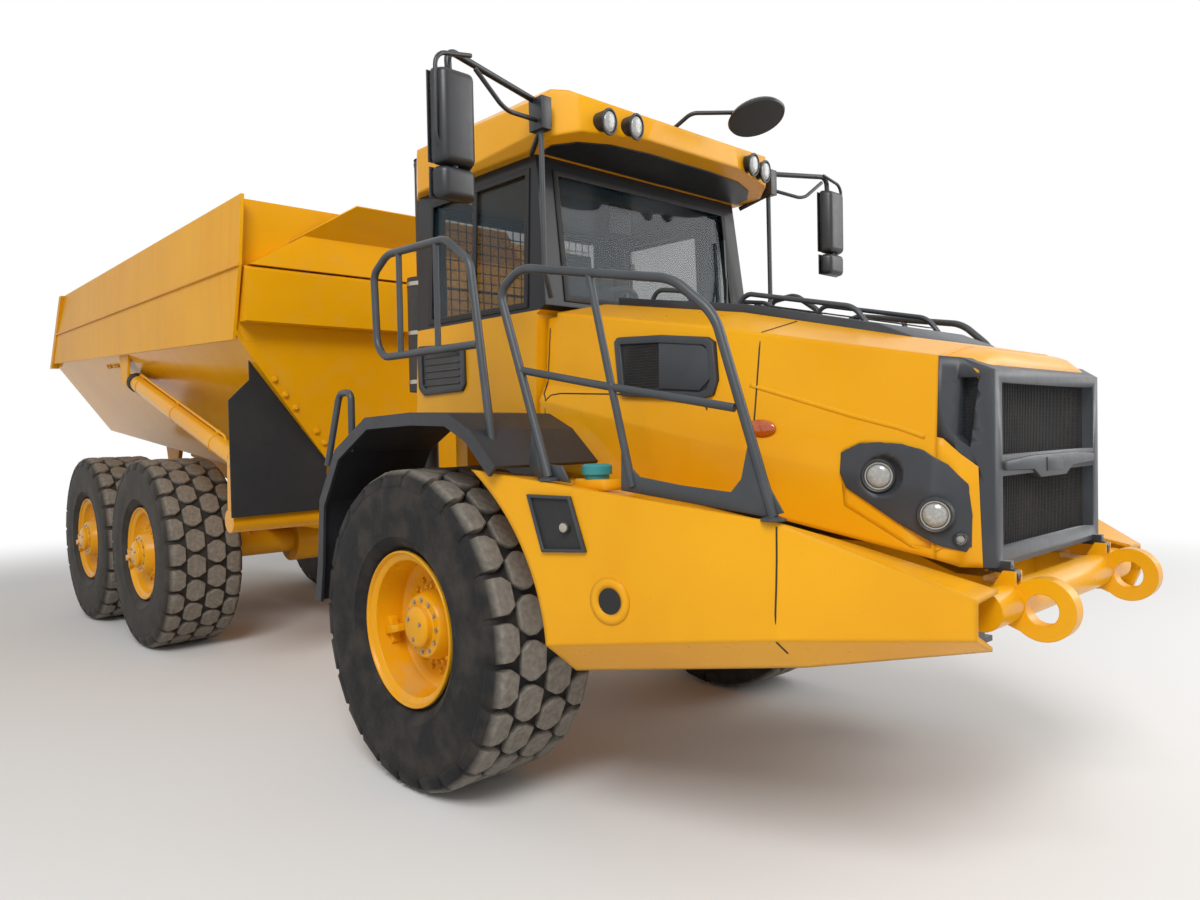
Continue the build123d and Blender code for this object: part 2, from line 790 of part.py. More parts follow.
def window_blocks(less):
    """The four fixed window openings, each smaller all round by a clearance."""
    low = window_bottom_z + less
    high = window_top_z - less
    right = block(-650 + less, 250 - less, -950, -700, low, high)
    quarter = block(door_front_x + 60 + less, 250 - less, 700, 950, low, high)
    front = block(250, 500, -690 + less, 690 - less, low + 30, high)
    rear = block(cab_rear_x - 50, cab_rear_x + 100, -650 + less, 650 - less, low, high)
    return [right, quarter, front, rear]


cab_shell = wall_ring(0, cab_wall)
for cutter in window_blocks(0):
    cab_shell -= cutter
cab_shell -= block(door_rear_x, door_front_x, 700, 950, door_bottom_z, window_top_z + 20)
hinge_heights = [door_bottom_z + 310, window_top_z - 180]
for z in hinge_heights:
    for way in (-70, 30):
        low = (door_hinge_x, door_hinge_y, z + way)
        high = (door_hinge_x, door_hinge_y, z + way + 40)
        cab_shell += rod(low, high, door_hinge_radius)
        cab_shell += block(
            door_hinge_x - 12, door_hinge_x + 8, 790, door_hinge_y - 2, z + way, z + way + 40)
    low = (door_hinge_x, door_hinge_y, z - 70)
    high = (door_hinge_x, door_hinge_y, z + 70)
    cab_shell += rod(low, high, door_pin_radius)
save("cab_shell", cab_shell)

glass_layer = wall_ring(glass_set_in, glass_thickness)
panes = []
for cutter in window_blocks(seat_gap):
    panes += (glass_layer & cutter).solids()
save("cab_glass", Compound(children=panes))

# Door on the left, hinged at its rear edge
door_gap = moving_gap
door = wall_ring(0, cab_wall) & block(
    door_rear_x + door_gap, door_front_x - door_gap, 700, 950, door_bottom_z + door_gap,
    window_top_z + 20 - door_gap)
door_window = [door_rear_x + 80, door_front_x - 80, 700, 950, door_bottom_z + 150, window_top_z - 60]
door -= block(*door_window)
for z in hinge_heights:
    knuckle = rod((door_hinge_x, door_hinge_y, z - 28), (door_hinge_x, door_hinge_y, z + 28), door_hinge_radius)
    knuckle += block(door_hinge_x, door_rear_x + 60, door_hinge_y - 8, door_hinge_y + 4, z - 28, z + 28)
    leaf_y = cab_wall_y(z) - cab_wall / 2
    knuckle += block(door_rear_x + 20, door_rear_x + 60, leaf_y, door_hinge_y, z - 28, z + 28)
    knuckle -= rod((door_hinge_x, door_hinge_y, z - 40), (door_hinge_x, door_hinge_y, z + 40),
                   door_pin_radius + shaft_fit)
    door += knuckle
save("cab_door", door)
x0, x1, y0, y1, z0, z1 = door_window
pane = block(x0 + seat_gap, x1 - seat_gap, y0, y1, z0 + seat_gap, z1 - seat_gap)
save("door_glass", glass_layer & pane)

# Roof with its brow over the windscreen: the side view cut by the view from above
roof_side = [
    (-840, cab_top_z), (-850, roof_top_z - 150), (-760, roof_top_z - 40), (-200, roof_top_z),
    (250, roof_top_z), (560, roof_top_z - 40), (700, roof_top_z - 115), (690, roof_top_z - 225),
    (330, cab_top_z),
]
roof_plan = [
    (-850, -780), (-700, -865), (440, -910), (600, -760), (700, -330), (700, 330), (600, 760),
    (440, 910), (-700, 865), (-850, 780),
]
roof_half = 920.0
roof_face = [
    (-roof_half + 60, cab_top_z - 1), (-roof_half, cab_top_z + 60), (-roof_half, roof_top_z - 90),
    (-roof_half + 70, roof_top_z - 25), (-roof_half + 220, roof_top_z + 1),
]
roof_face += [(-y, z) for y, z in reversed(roof_face)]
cab_roof = side_plate(roof_side, -1000, 1000) & deck_plate(roof_plan, cab_top_z - 1, roof_top_z + 50)
cab_roof = cab_roof & cross_plate(roof_face, -900, 800)
save("cab_roof", cab_roof)

# Four lamps under the brow. Columns: X, Y, distance below the roof's top.
brow_lamp_radius = 48.0
lamps = []
for x, y, drop in [(640, 642, 178), (672, 485, 176)]:
    z = roof_top_z - drop
    for side in (-1, 1):
        lamps += rod((x - 60, side * y, z), (x + 40, side * y, z), brow_lamp_radius).solids()
save("roof_lamps", Compound(children=[s for lamp in lamps for s in (lamp - cab_roof).solids()]))

# Seat, dashboard, column and steering wheel
floor = cab_floor_z + cab_wall
seat = block(-420, 60, -240, 240, floor, floor + 260)
seat += block(-440, 80, -260, 260, floor + 260, floor + 400)
back_top = cab_top_z - head_room
back = [(-440, floor + 380), (-300, floor + 380), (-400, back_top), (-520, back_top)]
seat += side_plate(back, -230, 230)
dash_x = cab_front_x - cab_wall
dash = [(170, floor), (dash_x, floor), (dash_x, 2300), (230, 2350), (120, 2290), (130, 2180), (170, 2150)]
dash_half = cab_half - 220
interior = [seat, side_plate(dash, -dash_half, dash_half)]
column = rod((170, 0, 2200), (-20, 0, 2440), 26)
hand_wheel_radius = 200.0
wheel_plane = Plane(origin=(-20, 0, 2440), z_dir=(-190, 0, 240))
ring_face = Plane.XZ * Pos(hand_wheel_radius, 0) * RegularPolygon(16, 6)
hand_wheel = wheel_plane * revolve(ring_face, axis=Axis.Z)
spokes = wheel_plane * Box(392, 30, 14)
interior.append((column + hand_wheel + spokes) - interior[1])
save("cab_interior", Compound(children=[s for shape in interior for s in shape.solids()]))

# Exhaust behind the cab's right corner
can_top = exhaust_top_z - exhaust_tail
exhaust = rod((exhaust_x, exhaust_y, can_top - exhaust_can_length), (exhaust_x, exhaust_y, can_top),
              exhaust_can_radius)
exhaust += rod((exhaust_x, exhaust_y, front_rail_top), (exhaust_x, exhaust_y, exhaust_top_z), exhaust_pipe_radius)
save("exhaust_stack", exhaust)


# Side panels beside the bonnet, cut by the wheel arch
side_panel = hull_of_sections(panel_rows, panel_outline)
side_panel -= rod((0, 500, hub_z), (0, 1600, hub_z), arch_cut_radius)
save("side_panel_right", mirrored(side_panel))
step_opening = block(step_x0, step_x1, 1000, 1600, 500, 1700)
left_panel = side_panel - step_opening
save("side_panel_left", left_panel)

# Fenders: an arch with flat top and bevelled shoulders, with a lip down its outer side
# Columns: X, Z of the arch's upper side.
arch_outer = [
    (-850, 830), (-812, 1046), (-772, 1390), (-580, 1664), (-250, 1828), (180, 1842), (490, 1828), (655, 1754),
    (830, 1600),
]


def arch_band(points, thickness):
    """The arch as a closed outline, thickened towards the wheel's centre."""
    inner = []
    for x, z in points:
        reach = hypot(x, z - hub_z)
        inner.append((x - x * thickness / reach, z - (z - hub_z) * thickness / reach))
    return points + inner[::-1]


fender = side_plate(arch_band(arch_outer, fender_skin), fender_inner, fender_outer)
fender += side_plate(arch_band(arch_outer, fender_lip), fender_outer - fender_skin, fender_outer)
# Two brackets reach in under the cab to its posts. Columns: X, Z at the post, Z at the fender.
for x, post_z, fender_z in [(250, 1690, 1826), (-680, 1400, 1450)]:
    bracket = [
        (post_outer + seat_gap, post_z), (fender_inner + 60, post_z), (fender_inner + 60, fender_z),
        (fender_inner + 4, fender_z), (fender_inner - 15, post_z + 50), (post_outer + seat_gap, post_z + 50),
    ]
    fender += cross_plate(bracket, x - 40, x + 40)
save("fenders", pair(fender))

# Handrails. Columns of each point: X, Y, Z, on the right side.
rail_radius = 19.0
front_rail_path = [
    (1010, -1352, 1540), (706, -1352, 2350), (850, -1350, 2433), (1590, -1222, 2300), (1762, -1192, 2150),
    (1985, -1166, 1425),
]
fender_rail_path = [
    (700, -1400, 1640), (558, -1400, 2500), (370, -1400, 2630), (-150, -1400, 2640), (-285, -1400, 2560),
    (-268, -1400, 2200), (-200, -1400, 2130), (560, -1400, 2130),
]
short_rail_path = [
    (700, -1400, 1640), (558, -1400, 2500), (370, -1400, 2630), (180, -1400, 2610), (150, -1400, 2400),
    (150, -1400, 1830),
]
right_panel = mirrored(side_panel)
right_fender = mirrored(fender)
front_rail = pipe(front_rail_path, 60, rail_radius) - right_panel
fender_rail = pipe(fender_rail_path, 45, rail_radius) - right_fender
short_rail = pipe(short_rail_path, 45, rail_radius) - right_fender
# Two posts stand inside the long rail. Columns: X, Z of the post's foot, Z of its head.
for x, low, high in [(-40, 2130, 2640), (290, 2130, 2630)]:
    fender_rail += rod((x, -1400, low), (x, -1400, high), rail_radius - 4)
handle_path = [(-720, -1470, 1555), (-690, -1400, 1970), (-560, -1400, 1970), (-560, -1400, 1640)]
handle = pipe(handle_path, 45, rail_radius) - right_fender
rails = [front_rail, mirrored(front_rail), fender_rail, mirrored(short_rail), handle]
save("handrails", Compound(children=[max(r.solids(), key=lambda s: s.volume) for r in rails]))

# Mirrors on tube arms at the roof's front corners
mirror_outer = 1610.0
mirror_width = 225.0
mirror_x = 605.0
arm_y = -(mirror_outer - mirror_width / 2)
arm_path = [
    (460, -860, roof_top_z - 110), (560, arm_y, roof_top_z - 40), (mirror_x, arm_y, roof_top_z - 640),
]
mirror_arm = pipe(arm_path, 60, 16) - cab_roof
mirror_arm = max(mirror_arm.solids(), key=lambda s: s.volume)
mirrors = Part() + mirror_arm
# Columns: distance of its top and of its bottom below the roof's top, depth.
for top, bottom, depth in [(155, 550, 90), (560, 705, 80)]:
    face = [
        (mirror_x - depth / 2, -mirror_outer + 25), (mirror_x + depth / 2 - 20, -mirror_outer),
        (mirror_x + depth / 2, -mirror_outer + 45), (mirror_x + depth / 2, -mirror_outer + mirror_width - 45),
        (mirror_x + depth / 2 - 20, -mirror_outer + mirror_width),
        (mirror_x - depth / 2, -mirror_outer + mirror_width - 25),
    ]
    mirrors += deck_plate(face, roof_top_z - bottom, roof_top_z - top)
save("mirrors", pair(mirrors))

# Entry steps on the left, hung in the gap of the side panel
steps = Part()
for i in range(step_count):
    z = step_first_z + step_rise * i
    y = step_y - 20 * i
    steps += block(step_x0 + seat_gap, step_x1 - seat_gap, y, y + step_depth, z, z + 30)
string_top = step_first_z + step_rise * (step_count - 1) + 125
for x in (step_x0 + seat_gap, step_x1 - seat_gap - panel_skin):
    steps += block(x, x + panel_skin, step_y - 70, step_y + 100, step_first_z, string_top)
save("entry_steps", steps)

# Hitch: an upright column on two pins, a lengthwise shaft for the rear unit and two steering arms
column_low = ear_bottom + 1
column_high = ear_top - 1
hitch = rod((pivot_x, 0, column_low), (pivot_x, 0, column_high), hitch_column_radius)
pin_reach = hitch_ear_thickness + 20
hitch += rod((pivot_x, 0, ear_bottom - pin_reach), (pivot_x, 0, ear_top + pin_reach), hitch_pin_radius)
shaft_end = pivot_x - hitch_shaft_end
hitch += rod((pivot_x, 0, hitch_z), (shaft_end, 0, hitch_z), hitch_shaft_radius)
hitch += rod((shaft_end, 0, hitch_z), (shaft_end - hitch_nut_thickness, 0, hitch_z), hitch_nut_radius)
arm_x = pivot_x - steer_arm_back
for side in (-1, 1):
    for up in (-1, 1):
        z0 = hitch_z + up * bracket_gap
        z1 = hitch_z + up * (bracket_gap + bracket_thickness)
        arm = deck_plate([
            (arm_x - 60, 0), (arm_x - 60, side * steer_arm_out), (arm_x + 60, side * steer_arm_out),
            (arm_x + 60, 0),
        ], z0, z1)
        arm += rod((arm_x, side * steer_arm_out, z0), (arm_x, side * steer_arm_out, z1), 60)
        hitch += arm
save("hitch", hitch)


# Cylinders: a barrel turning on its foot pin and a rod that slides in it
def barrel_at(foot, eye, radius, rod_radius, eye_radius, eye_width, pin_radius, pin_axis, dead):
    """A cylinder barrel from its foot towards the rod's eye, with a bore for the rod."""
    start = Vector(*foot)
    along = (Vector(*eye) - start).normalized()
    length = (Vector(*eye) - start).length
    side = Vector(*pin_axis)
    mouth = start + along * (length - dead)
    body = rod(tuple(start + along * (eye_radius + 20)), tuple(mouth), radius)
    body += rod(tuple(start), tuple(start + along * (eye_radius + 30)), eye_width / 2 - 4)
    body += rod(tuple(start - side * (eye_width / 2)), tuple(start + side * (eye_width / 2)), eye_radius)
    body -= rod(tuple(start - side * 200), tuple(start + side * 200), pin_radius + shaft_fit)
    body -= rod(tuple(start + along * (eye_radius + 60)), tuple(mouth + along * 1), rod_radius + 8)
    body += rod(tuple(mouth - along * 60), tuple(mouth), radius + 6)
    body -= rod(tuple(mouth - along * 70), tuple(mouth + along * 1), rod_radius + shaft_fit)
    return body


def rod_at(foot, eye, rod_radius, eye_radius, eye_width, pin_axis, inner_reach):
    """A piston rod with its eye. Its piston stands at a reach from the barrel's foot."""
    start = Vector(*foot)
    end = Vector(*eye)
    along = (end - start).normalized()
    side = Vector(*pin_axis)
    inner = start + along * inner_reach
    body = rod(tuple(inner), tuple(end), rod_radius)
    body += rod(tuple(inner), tuple(inner + along * 40), rod_radius + 7.5)
    body += rod(tuple(end - side * (eye_width / 2)), tuple(end + side * (eye_width / 2)), eye_radius)
    return body


for side, word in ((1, "left"), (-1, "right")):
    foot = (steer_foot_x, side * steer_foot_y, hitch_z)
    eye = (arm_x, side * steer_arm_out, hitch_z)
    barrel = barrel_at(foot, eye, steer_barrel_radius, steer_rod_radius, steer_eye_radius,
                       steer_eye_height, steer_pin_radius, (0, 0, 1), steer_dead_length)
    save(f"steer_barrel_{word}", barrel)
    save(f"steer_rod_{word}", rod_at(foot, eye, steer_rod_radius, steer_eye_radius, steer_eye_height,
                                     (0, 0, 1), steer_rod_inner))
    foot = (hoist_foot_x, side * hoist_y, hoist_foot_z)
    eye = (hoist_eye_x, side * hoist_y, hoist_eye_z)
    barrel = barrel_at(foot, eye, hoist_barrel_radius, hoist_rod_radius, hoist_eye_radius,
                       hoist_eye_width, hoist_pin_radius, (0, 1, 0), hoist_dead_length)
    save(f"hoist_barrel_{word}", barrel)
    save(f"hoist_rod_{word}", rod_at(foot, eye, hoist_rod_radius, hoist_eye_radius, hoist_eye_width,
                                     (0, 1, 0), hoist_rod_inner))

# Rear frame: housing round the hitch shaft, two rails, cross members, hoist outriggers, bin pivots
housing_x0 = pivot_x - housing_front
housing_x1 = shaft_end + 1
rear_frame = rod((housing_x0, 0, hitch_z), (housing_x1, 0, hitch_z), housing_radius)
front_wall = [
    (-rear_rail_outer, rear_rail_bottom - 150), (rear_rail_outer, rear_rail_bottom - 150),
    (rear_rail_outer, rear_rail_top), (-rear_rail_outer, rear_rail_top),
]
rear_frame += cross_plate(front_wall, rear_frame_front, rear_frame_front - plate)
for side in (-1, 1):
    rail = [
        (rear_frame_front - plate + 1, rear_rail_bottom - 150), (rear_frame_front - plate + 1, rear_rail_top),
        (rear_frame_rear, rear_rail_top), (rear_frame_rear, rear_rail_bottom + 60),
        (-2900, rear_rail_bottom + 60),
    ]
    rear_frame += side_plate(rail, side * rear_rail_inner, side * rear_rail_outer)
for x in (-3200, -5016, -6400):
    y = rear_rail_inner + 1
    rear_frame += block(x - 60, x + 60, -y, y, rear_rail_bottom + 90, rear_rail_top - 30)
rear_frame -= rod((housing_x0 - 1, 0, hitch_z), (housing_x1 + 1, 0, hitch_z), hitch_shaft_radius + shaft_fit)
rear_frame -= rod((housing_x0 + 10, 0, hitch_z), (housing_x1 - 1, 0, hitch_z), hitch_shaft_radius + shaft_fit)
rear_frame += rod((hoist_foot_x, rear_rail_inner, outrigger_z),
                  (hoist_foot_x, hoist_y + 90, outrigger_z), outrigger_radius)
rear_frame += rod((hoist_foot_x, -rear_rail_inner, outrigger_z),
                  (hoist_foot_x, -hoist_y - 90, outrigger_z), outrigger_radius)
for side in (-1, 1):
    for way in (-1, 1):
        inner = side * hoist_y + way * (hoist_eye_width / 2 + 3)
        outer = inner + way * 25
        cheek = [
            (hoist_foot_x - 75, outrigger_z), (hoist_foot_x + 75, outrigger_z),
            (hoist_foot_x + 60, hoist_foot_z + 40), (hoist_foot_x - 30, hoist_foot_z + 50),
            (hoist_foot_x - 60, hoist_foot_z),
        ]
        rear_frame += side_plate(cheek, inner, outer)
    reach = hoist_eye_width / 2 + 40
    rear_frame += rod((hoist_foot_x, side * hoist_y - reach, hoist_foot_z),
                      (hoist_foot_x, side * hoist_y + reach, hoist_foot_z), hoist_pin_radius)
    ear = [
        (rear_frame_rear, rear_rail_top - 10), (rear_frame_rear + 400, rear_rail_top - 10),
        (bin_pivot_x + 60, bin_pivot_z + 50), (bin_pivot_x - 60, bin_pivot_z + 50),
    ]
    rear_frame += side_plate(ear, side * (rear_rail_inner + 60), side * rear_rail_outer)
rear_frame += rod((bin_pivot_x, -rear_rail_outer - 60, bin_pivot_z),
                  (bin_pivot_x, rear_rail_outer + 60, bin_pivot_z), bin_pin_radius)
save("rear_frame", rear_frame)

# Middle and rear axles, tied by a walking beam on each side
for name, x in (("middle_axle", middle_x), ("rear_axle", rear_x)):
    piece = axle(x, rear_rim_dish)
    for side in (-1, 1):
        piece += block(x - 90, x + 90, side * beam_inner, side * (beam_inner + beam_width), hub_z, hub_z + 125)
    save(name, piece)
beam_z0 = hub_z + 125
beam = side_plate([
    (middle_x + 110, beam_z0), (middle_x + 110, beam_z0 + 90), (-5016 + 160, beam_z0 + beam_height),
    (-5016 - 160, beam_z0 + beam_height), (rear_x - 110, beam_z0 + 90), (rear_x - 110, beam_z0),
], beam_inner, beam_inner + beam_width)
beam += rod((-5016, rear_rail_outer, beam_z0 + 95), (-5016, beam_inner + beam_width + 20, beam_z0 + 95), 75)
save("bogie_beams", pair(beam))


# Bin: plates through three sections. The floor is level, then rises as a ramp. Flanks slope up to
# upright sides, and the sides lean in a little above a crease. Every plate stays flat.
def bin_floor(x):
    """Z of the floor's underside."""
    return bin_floor_z + max(0.0, bin_ramp_x - x) * bin_ramp_slope


def bin_flank(x):
    """Z where a flank meets the side."""
    return bin_corner_z + (bin_front_x - x) * flank_fall


def bin_top(x):
    """Z of the side's top edge."""
    return bin_top_z - (bin_front_x - x) * bin_top_fall


bin_rows = [(x, bin_floor(x), bin_flank(x), bin_top(x)) for x in (bin_front_x, bin_ramp_x, tail_x)]


def bin_outline(inset, rise):
    """The bin's outline at one row, moved inwards by a wall and raised at its top."""
    def outline(row):
        x, floor_z, flank_z, top_z = row
        floor_half = bin_half - (flank_z - floor_z) / flank_slope
        top_half = bin_half - (top_z + rise - bin_crease_z) * bin_side_lean
        right = [(floor_half - inset * 0.5, floor_z + inset)]
        if inset:
            right.append((bin_half - inset, flank_z + inset * 0.35))
        else:
            lip_z = flank_z - bin_wall * flank_slope
            right += [(bin_half - bin_wall, lip_z), (bin_half - bin_wall, lip_z - side_lip),
                      (bin_half, lip_z - side_lip)]
        right += [(bin_half - inset, bin_crease_z), (top_half - inset, top_z + rise)]
        return right + [(-y, z) for y, z in reversed(right)]
    return outline


def ahead_of(points, y):
    """All that lies in front of a line drawn from the side, from its top down."""
    low = points[-1][1] - 200
    return side_plate([*points, (points[-1][0], low), (-1500, low), (-1500, points[0][1])], -y, y)


# The front edges of the flanks and sides, and the front wall that is set back between them, as X and Z
front_edge = [
    (bin_front_x, bin_top_z + 10), (bin_front_x, bin_crease_z), (bin_wall_x - 30, bin_corner_z - 65),
    (bin_foot_x, bin_floor_z - 10),
]
wall_line = [(bin_wall_x, bin_top_z + 10), (bin_wall_x, bin_corner_z + 200), (bin_foot_x, bin_floor_z - 10)]
back_line = [(x - bin_wall, z) for x, z in wall_line]
bin_hull = hull_of_sections(bin_rows, bin_outline(0, 0))
bin_outer = bin_hull - ahead_of(front_edge, 1600)
bin_hollow = hull_of_sections(bin_rows, bin_outline(bin_wall, 1))
bin_inner = bin_hollow - ahead_of(back_line, 1600)
bin_inner += hull_of_sections(
    [bin_rows[-1], (tail_x - 5, *bin_rows[-1][1:])], bin_outline(bin_wall, 1))
bin_shell = bin_outer - bin_inner
bin_shell -= bin_hollow & ahead_of(wall_line, 1600)
box_beam = [
    (bin_wall_x - 5, beam_low_z), (bin_front_x, beam_low_z), (bin_front_x, bin_crease_z - 20),
    (bin_front_x - 20, bin_crease_z), (bin_wall_x - 5, bin_crease_z),
]
bin_shell += side_plate(box_beam, -bin_half + 40, bin_half - 40)
# The tail falls back from the top edge to a corner, and on to the lip of the ramp
bin_shell -= side_plate([
    (bin_top_rear_x, bin_top_z + 50), (bin_top_rear_x, bin_top(bin_top_rear_x)), (tail_corner_x, tail_corner_z),
    (tail_x, bin_floor(tail_x) + bin_wall), (tail_x - 50, bin_floor(tail_x)), (tail_x - 50, bin_top_z + 50),
], -1600, 1600)
# Each side is stiffened along its rear edge
for side in (-1, 1):
    edge = [
        (bin_top_rear_x + 10, bin_top(bin_top_rear_x)), (tail_corner_x + 4, tail_corner_z),
        (tail_corner_x + 90, tail_corner_z), (bin_top_rear_x + 90, bin_top(bin_top_rear_x)),
    ]
    strip = side_plate(edge, side * (bin_half - 60), side * (bin_half + 10))
    bin_shell += strip - hull_of_sections(bin_rows, bin_outline(bin_wall / 2, 60))
bearer_front = hoist_foot_x - outrigger_radius - 40
bearer_rear = bin_ramp_x - bearer_reach
for side in (-1, 1):
    # A bearer under the floor lies above the frame's rail
    bearer_y = side * (rear_rail_inner + rear_rail_width / 2)
    low = rear_rail_top + moving_gap
    bearer = [
        (bearer_front, low), (bearer_front, bin_floor_z + 5), (bin_ramp_x, bin_floor_z + 5),
        (bearer_rear, bin_floor(bearer_rear) + 5), (bearer_rear, bin_floor(bearer_rear) - 120),
        (bin_ramp_x - 500, low),
    ]
    bin_shell += side_plate(bearer, bearer_y - bearer_width / 2, bearer_y + bearer_width / 2) - bin_inner
    # An ear hangs on the pivot pin, outside the frame's own ear
    ear = [
        (bin_pivot_x + 260, bin_floor(bin_pivot_x) + 10), (bin_pivot_x - 240, bin_floor(bin_pivot_x) + 60),
        (bin_pivot_x - 60, bin_pivot_z - 60), (bin_pivot_x + 60, bin_pivot_z - 60),
    ]
    y0 = side * (rear_rail_outer + moving_gap)
    y1 = side * (rear_rail_outer + moving_gap + 40)
    ear_plate = side_plate(ear, y0, y1) - bin_inner
    ear_plate -= rod((bin_pivot_x, y0 - side * 10, bin_pivot_z), (bin_pivot_x, y1 + side * 10, bin_pivot_z),
                     bin_pin_radius + shaft_fit)
    bin_shell += ear_plate
    # Two cheeks hold the eye of the tipping cylinder
    for way in (-1, 1):
        inner = side * hoist_y + way * (hoist_eye_width / 2 + 3)
        outer = inner + way * 22
        cheek = [
            (hoist_eye_x - 70, hoist_eye_z - 50), (hoist_eye_x + 70, hoist_eye_z - 50),
            (hoist_eye_x + 160, hoist_eye_z + 330), (hoist_eye_x - 160, hoist_eye_z + 330),
        ]
        bin_shell += side_plate(cheek, inner, outer) - bin_inner


def wedge(rows):
    """A ruled solid between two level rectangles. Columns: Z, rear X, front X, half width."""
    faces = []
    for z, rear, front, half in rows:
        corners = [(rear, -half), (front, -half), (front, half), (rear, half)]
        faces.append(Plane(origin=(0, 0, z)) * make_face(Polyline(*corners, close=True)))
    return loft(faces, ruled=True)


# Canopy: a sloping shelf on the front wall, with a visor that reaches forwards over the cab
shelf_rear = bin_wall_x - 5
bin_shell += wedge([
    (bin_top_z - shelf_foot[0], shelf_rear, bin_wall_x + shelf_depth, shelf_foot[1]),
    (bin_top_z - shelf_head[0], shelf_rear, bin_wall_x + 10, shelf_head[1]),
])
visor_low = bin_top_z - visor_root[0]
visor_high = bin_top_z - visor_tip[0]
visor_face = make_face(Polyline(
    (bin_wall_x, -visor_root[1], visor_low), (bin_wall_x + visor_reach, -visor_tip[1], visor_high),
    (bin_wall_x + visor_reach, visor_tip[1], visor_high), (bin_wall_x, visor_root[1], visor_low),
    close=True))
bin_shell += extrude(visor_face, amount=visor_thickness)
save("bin", bin_shell)

# Flaps under the front of the flanks, as Y and Z
flap_outer = bin_half - 2
flap_inner = bin_half - 685
flap_notch = bin_half - 145
flap = cross_plate([
    (flap_inner, 1210), (flap_outer, 1200), (flap_outer, bin_corner_z - 450), (flap_notch, bin_corner_z - 310),
    (flap_notch, bin_corner_z - 110), (flap_inner, bin_corner_z - 780),
], bin_foot_x, bin_foot_x - flap_thickness)
save("mud_flaps", pair(flap - bin_outer))

# Tail lamps on the rear frame
save("tail_lamps", pair(block(rear_frame_rear - 40, rear_frame_rear, 350, 460, 1000, 1100)))

# Pivots, printed for the joints: name, X, Y and Z of a point on each axis
# and what each cylinder does over the range of the joint that it follows.
places = [
    ("steer", (pivot_x, 0, hitch_z)),
    ("bonnet", (bonnet_pin_x, 0, bonnet_pin_z)),
    ("door", (door_hinge_x, door_hinge_y, 2500)),
    ("bin", (bin_pivot_x, 0, bin_pivot_z)),
    ("wheel_front", (0, wheel_y, hub_z)),
    ("wheel_middle", (middle_x, wheel_y, hub_z)),
    ("wheel_rear", (rear_x, wheel_y, hub_z)),
    ("steer_foot", (steer_foot_x, steer_foot_y, hitch_z)),
    ("steer_eye", (arm_x, steer_arm_out, hitch_z)),
    ("hoist_foot", (hoist_foot_x, hoist_y, hoist_foot_z)),
    ("hoist_eye", (hoist_eye_x, hoist_y, hoist_eye_z)),
    ("eye", (eye_x, eye_spread, eye_z)),
]
for name, (x, y, z) in places:
    print(name, round((x + axle_shift) / 1000, 6), round(y / 1000, 6), round(z / 1000, 6))
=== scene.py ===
# %% [markdown]
# # An articulated dump truck, dressed in Blender
# The construction comes as a fixed frame: every plate, tube, wheel and hinge is already at its real
# size and place. This lesson gives the machine its finishes and the small pieces that the
# construction leaves out: tread blocks, grille mesh, lamps, bolts, wipers, mirrors and the seat.
# +X is forward, +Y is the driver's left and +Z is up, in metres, with the ground at Z 0.

# %% Load the frame
import math

import bpy
from mathutils import Matrix, Vector


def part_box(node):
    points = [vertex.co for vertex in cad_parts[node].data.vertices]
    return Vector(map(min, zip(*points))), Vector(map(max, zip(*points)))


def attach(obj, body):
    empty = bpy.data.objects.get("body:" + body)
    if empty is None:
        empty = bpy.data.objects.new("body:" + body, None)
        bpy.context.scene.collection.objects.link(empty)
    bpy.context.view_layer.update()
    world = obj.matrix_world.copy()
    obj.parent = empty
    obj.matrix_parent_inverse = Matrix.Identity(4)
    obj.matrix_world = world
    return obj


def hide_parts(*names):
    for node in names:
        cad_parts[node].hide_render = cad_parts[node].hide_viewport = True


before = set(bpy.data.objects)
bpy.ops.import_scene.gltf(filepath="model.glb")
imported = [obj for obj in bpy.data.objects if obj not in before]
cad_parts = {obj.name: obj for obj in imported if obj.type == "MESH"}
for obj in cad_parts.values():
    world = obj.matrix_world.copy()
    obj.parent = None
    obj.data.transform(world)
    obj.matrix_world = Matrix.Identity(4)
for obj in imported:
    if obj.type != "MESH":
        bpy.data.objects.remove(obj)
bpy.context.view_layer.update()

# %% [markdown]
# ## Places to build from
# The new pieces take their places from the frame's own boxes, so a changed size in the construction
# moves them too. One helper gives the middle of a node's box, and one a place measured from the
# front axle, which is how the lists of places below are written.

# %% Places read from the frame
def middle_of(node):
    """The middle of a node's box."""
    low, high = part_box(node)
    return (low + high) / 2


front_hub = middle_of("tyre_front_right")
axle_x = front_hub.x
hub_z = front_hub.z
print("front axle at", round(axle_x, 3), "hubs at height", round(hub_z, 3))


def spot(x, y, z):
    """A point given from the front axle, on the ground, in the middle of the machine."""
    return Vector((axle_x + x, y, z))


# %% [markdown]
# ## Shader maths in plain sums
# A finish is a tree of nodes. Written out node by node it is hard to read, so a socket is wrapped in
# a small class whose plus, minus and times add Math nodes. Every other node comes from one method:
# it takes the node's type, its settings, and what its sockets are fed with.

# %% The socket class
class Wire:
    """The output of a shader node, which can be added, multiplied and compared."""

    def __init__(self, finish, socket):
        self.finish = finish
        self.socket = socket

    def __add__(self, other):
        return self.finish.maths("ADD", self, other)

    def __sub__(self, other):
        return self.finish.maths("SUBTRACT", self, other)

    def __mul__(self, other):
        return self.finish.maths("MULTIPLY", self, other)

    def __truediv__(self, other):
        return self.finish.maths("DIVIDE", self, other)

    def __gt__(self, other):
        return self.finish.maths("GREATER_THAN", self, other)

    def __rsub__(self, other):
        return self.finish.maths("SUBTRACT", other, self)

    __radd__ = __add__
    __rmul__ = __mul__


